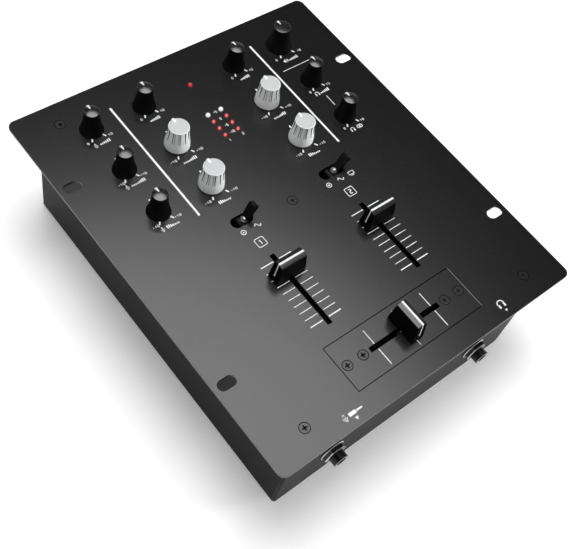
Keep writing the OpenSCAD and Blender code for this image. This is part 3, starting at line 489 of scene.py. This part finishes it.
def fader_cap(name, quarter):
    """Bevelled fader cap, hollow below, with a white line along its ridge and down both ends."""
    node = name + "_cap"
    lo, hi = low(node), high(node)
    size = hi - lo
    length, width = (size.y, size.x) if quarter else (size.x, size.y)
    height = size.z
    top_length = length - 2.9
    top_width = width - 1.8
    at = ((lo.x + hi.x) / 2, (lo.y + hi.y) / 2, lo.z)

    def half_length(z):
        return length / 2 + (top_length - length) / 2 * z / height

    def rectangle(half_width, z, inset=0.0):
        hl = half_length(z) - inset
        return [(-hl, -half_width, z), (hl, -half_width, z), (hl, half_width, z), (-hl, half_width, z)]

    points = (rectangle(width / 2, 0) + rectangle(top_width / 2, height - SHOULDER_DROP)
              + rectangle(0.12, height))
    faces = prism(3)
    start = len(points)
    wall = 1.3
    points += rectangle(width / 2 - wall, 0, wall) + rectangle(top_width / 2 - wall, height - 4.5, wall)
    for k in range(4):
        n = (k + 1) % 4
        faces.append((k, start + k, start + n, n))
        faces.append((start + k, start + 4 + k, start + 4 + n, start + n))
    faces.append((start + 4, start + 7, start + 6, start + 5))
    cap = new_piece(node + "_body", moved(turn_points(points, quarter), at), faces,
                    BLACK_PLASTIC, name)
    cap.data.materials.append(BLACK_SATIN)
    for face in cap.data.polygons:
        if face.center.z / MM < at[2] + height - SHOULDER_DROP - 1:
            face.material_index = 1
    soften(cap, 0.2, 2)
    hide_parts(node)

    line_half, proud, sunk = 0.6, 0.05, 0.25
    slope = SHOULDER_DROP / (top_width / 2)
    end = half_length(height) - 0.05
    across = [(-line_half, -line_half * slope), (0, 0), (line_half, -line_half * slope)]
    verts = [(x, y, height + z + up) for up in (proud, -sunk) for x in (-end, end) for y, z in across]
    faces = [(0, 1, 4, 3), (1, 2, 5, 4), (6, 9, 10, 7), (7, 10, 11, 8), (0, 3, 9, 6), (2, 8, 11, 5),
             (0, 6, 7, 1), (1, 7, 8, 2), (3, 4, 10, 9), (4, 5, 11, 10)]
    ridge = new_piece(name + "_ridge_line", moved(turn_points(verts, quarter), at), faces,
                      WHITE_LINE, name)
    for side in (-1, 1):
        end_line(name, side, half_length, height, at, quarter)


def end_line(name, side, half_length, height, at, quarter):
    """White line down one end of a cap, from its ridge to a round dot."""
    low_z, half_wide, proud, sunk = 4.3, 0.32, 0.05, 0.3
    verts = [(side * (half_length(z) + out), y, z) for out in (proud, -sunk)
             for z in (low_z, height - 0.1) for y in (-half_wide, half_wide)]
    faces = [(0, 1, 3, 2), (4, 6, 7, 5), (0, 2, 6, 4), (1, 5, 7, 3), (0, 4, 5, 1), (2, 3, 7, 6)]
    line = new_piece(f"{name}_end_line_{'left' if side < 0 else 'right'}",
                     moved(turn_points(verts, quarter), at), faces, WHITE_LINE, name)
    dot_r = 0.55
    ring_points = [(side * (half_length(low_z + z) + out), y, low_z + z) for out in (proud + 0.05, -sunk)
                   for y, z in arc(0, 0, dot_r, 0, 345, 23)]
    faces = [tuple(range(24)), tuple(range(47, 23, -1))]
    faces += [(k, 24 + k, 24 + (k + 1) % 24, (k + 1) % 24) for k in range(24)]
    dot = new_piece(f"{name}_end_dot_{'left' if side < 0 else 'right'}",
                    moved(turn_points(ring_points, quarter), at), faces, WHITE_LINE, name)


for name, quarter in CAPS.items():
    fader_cap(name, quarter)


# ---------- Finishes and soft edges of the CAD nodes ----------

def dress(mat, *nodes, edge=0.0, edge_mat=None):
    """Gives CAD nodes their finish, and rounds their sharp edges, in a finish of its own if given."""
    for name in nodes:
        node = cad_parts[name]
        node.data.materials.clear()
        node.data.materials.append(mat)
        if edge:
            weld = node.modifiers.new("weld", "WELD")
            weld.merge_threshold = 1e-6
            flat = node.modifiers.new("flat_faces", "DECIMATE")
            flat.decimate_type = "DISSOLVE"
            flat.angle_limit = math.radians(0.5)
            soft = node.modifiers.new("soft_edges", "BEVEL")
            soft.width = edge * MM
            soft.segments = 2
            soft.limit_method = "ANGLE"
            soft.angle_limit = math.radians(35)
            soft.harden_normals = True
            if edge_mat:
                node.data.materials.append(edge_mat)
                soft.material = 1


dress(PAINT, "top_panel", "crossfader_plate", edge=0.12)
dress(CASE_PAINT, "chassis", edge=0.2)
dress(SCREW_BLACK, "panel_screws", edge=0.08)
dress(BLACK_RUBBER, "feet")
dress(ZINC, "crossfader_brackets", "board_pillars", "channel_fader_frames", "crossfader_frame")
dress(BOARD, "main_board", "rear_board")
dress(POT_GREY, "pot_bodies")
dress(BRUSHED, "channel_1_carriage", "channel_2_carriage", "crossfader_carriage")
dress(BRUSHED, *[name + "_shaft" for name in ALL_KNOBS])
dress(BLACK_PLASTIC, "jack_bodies", "phono_blocks", "power_inlet")
dress(BLACK_MATT, "toggle_bodies")
dress(two_tone("phono_insert", INSERT_RED, INSERT_WHITE, middle("phono_inserts").z * MM),
      "phono_inserts")  # red for the right channel below, white for the left above
BALL_UP = 4.2  # from a toggle's pivot up to its ball
BALL_R = 2.7
PIVOT_DEPTH = 5  # of a toggle's pivot below the panel's top
for lever, lean in (("toggle_1_lever", 24), ("toggle_2_lever", 36)):
    lean = math.radians(lean)
    side_x = middle("channel_1_cap" if lever == "toggle_1_lever" else "channel_2_cap").x
    ball = Vector((side_x + BALL_UP * math.sin(lean), middle(lever).y,
                   PANEL_TOP - PIVOT_DEPTH + BALL_UP * math.cos(lean))) * MM
    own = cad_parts[lever].matrix_world.inverted() @ ball
    dress(glossy_near(lever + "_black", (0.0022, 0.0022, 0.0024), own, (BALL_R + 0.05) * MM,
                      (0.4, 0.33), (0.1, 1.0)), lever)
dress(BLACK_PLASTIC, "power_switch_frame", "power_rocker", edge=0.25)
dress(CHROME, "jack_ferrules", "phono_shells", "ground_post", "ground_nut")
dress(CHROME, "usb_socket", edge=0.15)
# Painted highlight: the nuts' and washers' rounded edges wear bright nickel against their dark nickel
# faces
dress(DARK_NICKEL, "jack_nuts", "jack_washers", edge=0.3, edge_mat=CHROME)
dress(WHITE_LENS, "white_lights")


# ---------- Printing ----------

def bar(x0, y0, x1, y1, width):
    """Corner points of a straight printed line."""
    along = Vector((x1 - x0, y1 - y0)).normalized()
    side = Vector((-along.y, along.x)) * width / 2
    a, b = Vector((x0, y0)), Vector((x1, y1))
    return [a + side, b + side, b - side, a - side]


def ring(cx, cy, r, width, start=0, end=360, steps=32):
    """Outline of a ring or a piece of one, as quads."""
    outer = arc(cx, cy, r + width / 2, start, end, steps)
    inner = arc(cx, cy, r - width / 2, start, end, steps)
    return [[outer[i], outer[i + 1], inner[i + 1], inner[i]] for i in range(steps)]


def path(points, width):
    """Straight lines joined end to end."""
    return [bar(*points[i], *points[i + 1], width) for i in range(len(points) - 1)]


def disc(cx, cy, r):
    steps = 20
    return [arc(cx, cy, r, 0, 360 - 360 / steps, steps - 1)]


def block(x0, y0, x1, y1):
    """Corner points of an upright rectangle."""
    return [(x0, y0), (x1, y0), (x1, y1), (x0, y1)]


def print_on(name, outlines, z, mat=INK_WHITE):
    """A thin layer of ink with these filled outlines, lying on a face at height z."""
    verts, faces = [], []
    for outline in outlines:
        n, start = len(outline), len(verts)
        verts += [(p[0], p[1], z + INK) for p in outline] + [(p[0], p[1], z - SUNK) for p in outline]
        faces.append(tuple(range(start, start + n)))
        faces.append(tuple(range(start + 2 * n - 1, start + n - 1, -1)))
        for k in range(n):
            m = (k + 1) % n
            faces.append((start + k, start + n + k, start + n + m, start + m))
    piece = new_piece(name, verts, faces, mat, "case")
    return piece


def radial(place, r0, r1, angle, width):
    """A tick round a knob, at an angle counted anticlockwise from +X."""
    a = math.radians(angle)
    return bar(place.x + r0 * math.cos(a), place.y + r0 * math.sin(a),
               place.x + r1 * math.cos(a), place.y + r1 * math.sin(a), width)


# Strokes of plain figures in a box one unit wide and two high
FIGURES = {
    "0": [[(0, 0), (1, 0), (1, 2), (0, 2), (0, 0)]],
    "1": [[(0.15, 1.6), (0.55, 2), (0.55, 0)]],
    "2": [[(0, 2), (1, 2), (1, 1.05), (0, 0.95), (0, 0), (1, 0)]],
    "3": [[(0, 2), (1, 2), (1, 0), (0, 0)], [(0.3, 1), (1, 1)]],
    "4": [[(0, 2), (0, 0.9), (1, 0.9)], [(0.75, 2), (0.75, 0)]],
    "5": [[(1, 2), (0, 2), (0, 1.1), (1, 1.1), (1, 0), (0, 0)]],
    "7": [[(0, 2), (1, 2), (0.4, 0)]],
    "+": [[(0, 1), (1, 1)], [(0.5, 1.5), (0.5, 0.5)]],
    "-": [[(0.1, 1), (0.9, 1)]],
}


def figures(text, cx, cy, high_mm, width=0.3, stretch=1.0):
    """Plain figures centred on a place."""
    unit = high_mm / 2
    wide = unit * stretch
    pitch = wide * 1.7
    left = cx - (len(text) - 1) * pitch / 2 - wide / 2
    marks = []
    for i, figure in enumerate(text):
        for stroke in FIGURES[figure]:
            points = [(left + i * pitch + x * wide, cy - unit + y * unit) for x, y in stroke]
            marks += path(points, width)
    return marks


def bars(cx, cy, steps):
    """A row of upright bars centred on a place; each step is a share of the full height."""
    pitch, wide, full = 1.15, 0.7, 2.1
    marks = []
    for i, step in enumerate(steps):
        x = cx + (i - (len(steps) - 1) / 2) * pitch
        y0 = cy - full / 2
        y1 = y0 + full * step
        marks.append(block(x - wide / 2, y0, x + wide / 2, y1))
    return marks


LEVEL_STEPS = [0.45, 0.55, 0.66, 0.77, 0.88, 1]
HIGH_STEPS = [0.42, 0.42, 0.42, 0.42, 0.6, 0.8, 1, 1]
LOW_STEPS = [1, 1, 0.8, 0.6, 0.42, 0.42, 0.42]


def microphone(cx, cy, size):
    """A sign for a microphone: capsule, cradle and stem."""
    r = size * 0.17
    marks = disc(cx, cy + size * 0.32, r) + disc(cx, cy + size * 0.02, r)
    marks.append(block(cx - r, cy + size * 0.02, cx + r, cy + size * 0.32))
    marks += ring(cx, cy, size * 0.33, size * 0.08, 180, 360, 14)
    foot_y = cy - size * 0.5
    marks += path([(cx, cy - size * 0.33), (cx, foot_y)], size * 0.08)
    return marks + path([(cx - size * 0.18, foot_y), (cx + size * 0.18, foot_y)], size * 0.08)


def headphones(cx, cy, size):
    """A sign for headphones: band and two cups."""
    marks = ring(cx, cy, size * 0.42, size * 0.12, -20, 200, 20)
    for side in (-1, 1):
        x = cx + side * size * 0.34
        marks.append(block(x - size * 0.12, cy - size * 0.42, x + size * 0.12, cy + size * 0.02))
    return marks


def speaker(cx, cy, size):
    """A sign for the main output: a horn with two sound waves."""
    h = size * 0.2
    neck = cx - size * 0.25
    marks = [block(cx - size * 0.5, cy - h, neck, cy + h)]
    marks.append([(neck, cy - h), (cx, cy - size * 0.45), (cx, cy + size * 0.45), (neck, cy + h)])
    for r in (0.28, 0.48):
        marks += ring(cx, cy, size * r, size * 0.08, -48, 48, 8)
    return marks


def plug(cx, cy, size):
    """A sign for an input: a plug with its pin to the right."""
    body = block(cx - size / 2, cy - size * 0.11, cx, cy + size * 0.11)
    near, far, half = cx + size * 0.04, cx + size * 0.4, size * 0.05
    pin = [(near, cy - half), (far, cy - half), (cx + size / 2, cy), (far, cy + half), (near, cy + half)]
    return [body, pin]


def two_circles(cx, cy, size):
    """A sign for a blend of two sources: two overlapping rings."""
    return ring(cx - size * 0.24, cy, size * 0.36, 0.42) + ring(cx + size * 0.24, cy, size * 0.36, 0.42)


def record_sign(cx, cy, size):
    """A sign for a turntable: a ring round a dot."""
    return ring(cx, cy, size * 0.48, 0.42) + disc(cx, cy, size * 0.16)


def wave_sign(cx, cy, size):
    """A sign for a line input: one turn of a wave."""
    line = [(cx + (i / 16 - 0.5) * size * 1.3, cy + math.sin(i * math.pi / 8) * size * 0.38)
            for i in range(17)]
    return path(line, 0.5)


def screen_sign(cx, cy, size):
    """A sign for a computer: a screen on a foot."""
    w, h = size * 0.6, size * 0.36
    screen = block(cx - w, cy - h * 0.6, cx + w, cy + h * 1.3)
    foot = [(cx - w * 0.6, cy - h * 1.3), (cx + w * 0.6, cy - h * 1.3)]
    return path(screen + screen[:1], 0.4) + path(foot, 0.42)


def round_box(cx, cy, side, corner, width):
    """Outline of a square with round corners."""
    h = side / 2 - corner
    line = []
    for x, y, start in ((h, h, 0), (-h, h, 90), (-h, -h, 180), (h, -h, 270)):
        line += arc(cx + x, cy + y, corner, start, start + 90, 5)
    return path(line + [line[0]], width)


def arrow(cx, cy, size):
    """A small triangle that points to the front."""
    return [[(cx - size / 2, cy + size / 3), (cx, cy - size / 2), (cx + size / 2, cy + size / 3)]]


LARGE_SCALES = TONE_KNOBS + ["master"]
TICK_LONG, TICK_WIDE = 2.1, 0.85
END_FIGURES = (1.3, 0.28, 1.35)  # height, stroke width and stretch
METER_STEP = 5.6  # from one row of the meter to the next
METER_COLUMNS = 9.2  # from one column of the meter to the other
CHANNEL_FADERS_X = 32.3
TOGGLE_SIGNS_Y = -2.9
SIGNS = {
    "mic_gain": lambda x, y: microphone(x - 4.2, y, 3.0) + bars(x + 1.6, y, LEVEL_STEPS),
    "mic_treble": lambda x, y: microphone(x - 5.4, y, 3.0) + bars(x + 1.6, y, HIGH_STEPS),
    "mic_bass": lambda x, y: microphone(x - 4.8, y, 3.0) + bars(x + 1.6, y, LOW_STEPS),
    "gain_1": lambda x, y: bars(x, y, LEVEL_STEPS),
    "gain_2": lambda x, y: bars(x, y, LEVEL_STEPS),
    "treble_1": lambda x, y: bars(x, y, HIGH_STEPS),
    "treble_2": lambda x, y: bars(x, y, HIGH_STEPS),
    "bass_1": lambda x, y: bars(x, y, LOW_STEPS),
    "bass_2": lambda x, y: bars(x, y, LOW_STEPS),
    "master": lambda x, y: speaker(x - 4.0, y, 3.2) + bars(x + 1.6, y, LEVEL_STEPS),
    "cue_gain": lambda x, y: headphones(x - 4.0, y, 3.2) + bars(x + 1.6, y, LEVEL_STEPS),
    "cue_mix": lambda x, y: headphones(x - 3.0, y, 3.2) + two_circles(x + 2.4, y, 3.0),
}


def knob_scale(name):
    """Ticks, end figures and sign of one knob."""
    place = PLACE[name]
    large = name in LARGE_SCALES
    reach = 8.7 if large else 6.9
    angles = (240, 300, 90) if name in CENTRE_ZERO else (240, 300)
    marks = [radial(place, reach, reach + TICK_LONG, angle, TICK_WIDE) for angle in angles]
    ends = ("-10", "+10") if name in CENTRE_ZERO else ("0", "10")
    out, down = (8.9, 9.4) if large else (7.0, 7.8)
    marks += figures(ends[0], place.x - out, place.y - down, *END_FIGURES)
    marks += figures(ends[1], place.x + out, place.y - down, *END_FIGURES)
    return marks + SIGNS[name](place.x, place.y - (12.6 if large else 10.9))


def columns():
    """The two thick dividing lines and the thin ones of the right column."""
    marks = [bar(x, 18.7, x, 105.4, 1.25) for x in (-50, 50.6)]
    marks.append(bar(56, 78.5, 78, 78.5, 0.35))
    return marks + [bar(67.1, 50.2, 67.1, 42, 0.35)]


def meter_scale():
    """Figures between the meter's columns and a channel figure below each."""
    lights_lo, lights_hi = low("white_lights"), high("white_lights")
    top = lights_hi.y - (lights_hi.x - lights_lo.x - METER_COLUMNS) / 2
    marks = []
    for row, text in enumerate(("+5", "0", "-5", "-10")):
        marks += figures(text, 0.4, top - row * METER_STEP, 1.5, 0.34)
    marks += figures("1", -4.2, 52.3, 1.7, 0.34)
    return marks + figures("2", 5.2, 52.3, 1.7, 0.34)


def fader_scale(cx):
    """Ten lines on both sides of a channel fader's slot."""
    marks = []
    first, last, lines = -26.2, -68.2, 10
    for i in range(lines):
        y = first + (last - first) * i / (lines - 1)
        width = 0.62 if i in (0, lines - 1) else 0.38
        for side in (-1, 1):
            marks.append(bar(cx + side * 2, y, cx + side * 10.3, y, width))
    return marks


def channel_boxes():
    marks = []
    for cx, text in ((-32.2, "1"), (32.7, "2")):
        marks += round_box(cx, -12.6, 5.6, 0.9, 0.4) + figures(text, cx, -12.6, 2.7, 0.5)
    return marks


TOGGLE_SIGNS = [(record_sign, -36.4), (wave_sign, -26.8), (record_sign, 24.8), (wave_sign, 33.6),
                (screen_sign, 41.8)]
FRONT_SIGNS = [(microphone, -60.4, -116.5, 4.0), (plug, -53.2, -116.5, 9), (arrow, -54.9, -119.7, 2.2),
               (headphones, 55.2, -114.8, 5.2), (arrow, 55.4, -119.2, 1.8)]


panel_marks = columns() + meter_scale() + channel_boxes()
for sign, x in TOGGLE_SIGNS:
    panel_marks += sign(x, TOGGLE_SIGNS_Y, 3.0)
for sign, x, y, size in FRONT_SIGNS:
    panel_marks += sign(x, y, size)
panel_marks += fader_scale(-CHANNEL_FADERS_X) + fader_scale(CHANNEL_FADERS_X)
for knob in ALL_KNOBS:
    panel_marks += knob_scale(knob)
print_on("panel_printing", panel_marks, PANEL_TOP)

# Lines across the crossfader's travel, as x and both ends in y
PLATE_LINES = [(-20.6, -84.6, -94.1), (-20.6, -97.3, -107.7), (20.6, -84.6, -94.1),
               (20.6, -97.3, -107.7), (0.1, -84.2, -87), (0.1, -104.4, -107.9)]
plate_marks = [bar(x, y0, x, y1, 0.48) for x, y0, y1 in PLATE_LINES]
print_on("crossfader_printing", plate_marks, PANEL_TOP)


# ---------- Painted shade along the slots and round the crossfader plate, and a painted highlight on the plate's right end ---

def frame_of(x0, y0, x1, y1, width):
    """Outline of a rectangle."""
    half = width / 2
    return [bar(x0 - half, y0, x1 + half, y0, width), bar(x1, y0 + half, x1, y1 - half, width),
            bar(x0 - half, y1, x1 + half, y1, width), bar(x0, y0 + half, x0, y1 - half, width)]


FADER_SLOT = 50  # length of each fader slot
SLOT_HALF_WIDE = 1.25
SLOT_EDGE = 0.35  # width of the painted shade line along a slot
CHANNEL_SLOTS_Y = -47
CROSS_SLOT_Y = -95.4
edge_out = SLOT_HALF_WIDE + SLOT_EDGE / 2
# Painted shade: dark lines along both sides of each fader slot and round the crossfader plate's edge
edges = []
for channel in ("channel_1", "channel_2"):
    slot_x = middle(channel + "_cap").x
    for side in (-1, 1):
        x = slot_x + side * edge_out
        edges.append(bar(x, CHANNEL_SLOTS_Y - FADER_SLOT / 2, x, CHANNEL_SLOTS_Y + FADER_SLOT / 2,
                         SLOT_EDGE))
for side in (-1, 1):
    y = CROSS_SLOT_Y + side * edge_out
    edges.append(bar(-FADER_SLOT / 2, y, FADER_SLOT / 2, y, SLOT_EDGE))
plate_lo, plate_hi = low("crossfader_plate"), high("crossfader_plate")
edges += frame_of(plate_lo.x, plate_lo.y, plate_hi.x, plate_hi.y, 0.34)
print_on("painted_gap_shade_lines", edges, PANEL_TOP, GAP_PAINTED_SHADE)
# Painted highlight: a light grey line along the crossfader plate's right end
glint_x = plate_hi.x + 0.3
print_on("plate_end_glint", [bar(glint_x, plate_lo.y, glint_x, plate_hi.y, 0.3)], PANEL_TOP,
         EDGE_GLINT)


# ---------- Painted shade: a dark ring and cross on each countersunk screw ---

SCREW_HEAD_R = 2.8
CROSS_REACH = 1.5
CROSS_WIDE = 0.55
SCREW_PLACES = [(x, y) for x in (-80, 80) for y in (-109, 109)] + [(0, 0)]
SCREW_PLACES += [(x, CROSS_SLOT_Y) for x in (-40.5, -29.8, 29.8, 40.5)]
# Painted shade: a dark ring in each screw head's countersink gap and a dark cross for its recess
rims = []
for x, y in SCREW_PLACES:
    rims += ring(x, y, SCREW_HEAD_R + 0.12, 0.42)
    rims.append(bar(x - CROSS_REACH, y, x + CROSS_REACH, y, CROSS_WIDE))
    rims.append(bar(x, y - CROSS_REACH, x, y - CROSS_WIDE / 2, CROSS_WIDE))
    rims.append(bar(x, y + CROSS_WIDE / 2, x, y + CROSS_REACH, CROSS_WIDE))
print_on("countersink_painted_shade", rims, PANEL_TOP, GAP_PAINTED_SHADE)


# ---------- Lights ----------

LENS_R = 1.45
LENS_SUNK = 1.4  # how far a lens reaches into the panel


def lamp_lens(name, node, x, y, mat):
    """One round lens with a smooth dome and a moulded base, over its hole."""
    top = high(node).z
    proud = top - PANEL_TOP
    rises = [math.radians(9 * i) for i in range(11)]
    dome = [(LENS_R * math.cos(a), PANEL_TOP + proud * math.sin(a)) for a in rises]
    outline = [(0, PANEL_TOP - LENS_SUNK), (LENS_R, PANEL_TOP - LENS_SUNK)] + dome[:-1] + [(0, top)]
    piece = new_piece(name, *turned(outline, (x, y, 0)), mat, "case", 50)
    return piece


white_lo, white_hi = low("white_lights"), high("white_lights")
meter_x = (white_hi.x + white_lo.x) / 2
meter_top = (white_hi.y + white_lo.y) / 2
column_out = (white_hi.x - white_lo.x) / 2 - LENS_R
for column, x in (("left", meter_x - column_out), ("right", meter_x + column_out)):
    for row in range(1, 4):
        y = meter_top - METER_STEP * row
        lamp_lens(f"meter_light_{column}_{row}", "red_lights", x, y, RED_LENS)
power_y = high("red_lights").y - LENS_R
lamp_lens("power_light", "red_lights", meter_x, power_y, DIM_RED_LENS)
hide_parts("red_lights")


# ---------- Camera, light and floor ----------

CAMERA_AT = (-257.56, -199.59, 420.48 + PANEL_TOP)
CAMERA_AIM = (-27.06, -37.67, PANEL_TOP)
CAMERA_ROLL = 18.97
FOCAL_PIXELS = 955.8
SENSOR_WIDTH = 36
IMAGE_WIDTH = 569
IMAGE_HEIGHT = 549
CENTRE_PIXEL = (297.09, 271.10)

data = bpy.data.cameras.new("camera")
data.sensor_width = SENSOR_WIDTH
data.lens = SENSOR_WIDTH * FOCAL_PIXELS / IMAGE_WIDTH
data.shift_x = (IMAGE_WIDTH / 2 - CENTRE_PIXEL[0]) / IMAGE_WIDTH
data.shift_y = (CENTRE_PIXEL[1] - IMAGE_HEIGHT / 2) / IMAGE_WIDTH
data.clip_start = 0.01
camera = bpy.data.objects.new("camera", data)
bpy.context.scene.collection.objects.link(camera)
look = Vector(CAMERA_AIM) - Vector(CAMERA_AT)
turn = look.to_track_quat("-Z", "Y").to_matrix() @ Matrix.Rotation(math.radians(CAMERA_ROLL), 3, "Z")
camera.matrix_world = Matrix.Translation(Vector(CAMERA_AT) * MM) @ turn.to_4x4()
bpy.context.scene.camera = camera
bpy.context.scene.view_settings.view_transform = "Standard"


def softbox(name, towards, distance, size, radiance):
    """A round soft lamp of a radiance, facing the panel; its distance and size are in metres."""
    lamp = bpy.data.lights.new(name, "AREA")
    lamp.shape = "DISK"
    lamp.size = size
    lamp.energy = radiance * math.pi * math.pi * (size / 2) ** 2
    holder = bpy.data.objects.new(name, lamp)
    bpy.context.scene.collection.objects.link(holder)
    direction = Vector(towards).normalized()
    holder.location = Vector((0, 0, PANEL_TOP * MM)) + direction * distance
    holder.rotation_euler = direction.to_track_quat("Z", "Y").to_euler()
    return holder


# One lamp for the panel's reflections, one for its light and shadow, and a low one from the right
softbox("top_softbox", (0.0946, 0.1456, 0.985), 1.6, 1.45, 5.3).visible_diffuse = False
softbox("top_lamp", (0.0, 0.1456, 0.989), 1.6, 1.0, 9.0).visible_glossy = False
softbox("right_fill", (0.82, -0.56, 0.09), 1.6, 0.5, 40.0).visible_glossy = False


def any_ray(tree, *names):
    """1 for the kinds of ray named, else 0."""
    rays = tree.nodes.new("ShaderNodeLightPath")
    total = rays.outputs[names[0]]
    for name in names[1:]:
        both = tree.nodes.new("ShaderNodeMath")
        both.operation = "MAXIMUM"
        tree.links.new(total, both.inputs[0])
        tree.links.new(rays.outputs[name], both.inputs[1])
        total = both.outputs["Value"]
    return total


def between(tree, share, first, second):
    """A value from first to second as share goes from 0 to 1; each is a number or an output."""
    node = tree.nodes.new("ShaderNodeMapRange")
    for socket, value in (("Value", share), ("To Min", first), ("To Max", second)):
        if isinstance(value, (int, float)):
            node.inputs[socket].default_value = value
        else:
            tree.links.new(value, node.inputs[socket])
    return node.outputs["Result"]


# White to the camera, a dim room to diffuse light, and to reflections a pale floor line under a
# dark ceiling
DIFFUSE_HORIZON = 0.95
DIFFUSE_CEILING = 0.1
WORLD_HORIZON = 0.85
WORLD_CEILING = 0.04
world = bpy.data.worlds.new("studio")
bpy.context.scene.world = world
world.use_nodes = True
tree = world.node_tree
background = tree.nodes["Background"]
background.inputs["Color"].default_value = (1, 1, 1, 1)
split = tree.nodes.new("ShaderNodeSeparateXYZ")
tree.links.new(tree.nodes.new("ShaderNodeTexCoord").outputs["Generated"], split.inputs["Vector"])
climb = tree.nodes.new("ShaderNodeMapRange")
climb.interpolation_type = "SMOOTHSTEP"
climb.inputs["From Min"].default_value = 0.2
climb.inputs["From Max"].default_value = 0.55
tree.links.new(split.outputs["Z"], climb.inputs["Value"])
seen = between(tree, climb.outputs["Result"], WORLD_HORIZON, WORLD_CEILING)
lit = between(tree, climb.outputs["Result"], DIFFUSE_HORIZON, DIFFUSE_CEILING)
strength = between(tree, any_ray(tree, "Is Glossy Ray", "Is Transmission Ray"), lit, seen)
strength = between(tree, any_ray(tree, "Is Camera Ray"), strength, 1.0)
tree.links.new(strength, background.inputs["Strength"])

FLOOR_SIZE = 12  # metres
FLOOR_GLOW = 0.24
bpy.ops.mesh.primitive_plane_add(size=FLOOR_SIZE)
floor = bpy.context.object
floor.name = "floor"
white = bpy.data.materials.new("white_floor")
white.use_nodes = True
tree = white.node_tree
shader = tree.nodes["Principled BSDF"]
shader.inputs["Base Color"].default_value = (0.95, 0.95, 0.95, 1)
shader.inputs["Roughness"].default_value = 1
shader.inputs["Specular IOR Level"].default_value = 0
shader.inputs["Emission Color"].default_value = (1, 1, 1, 1)
seen_rays = any_ray(tree, "Is Camera Ray", "Is Glossy Ray", "Is Transmission Ray")
glow = between(tree, seen_rays, 0.0, FLOOR_GLOW)
tree.links.new(glow, shader.inputs["Emission Strength"])
floor.data.materials.append(white)
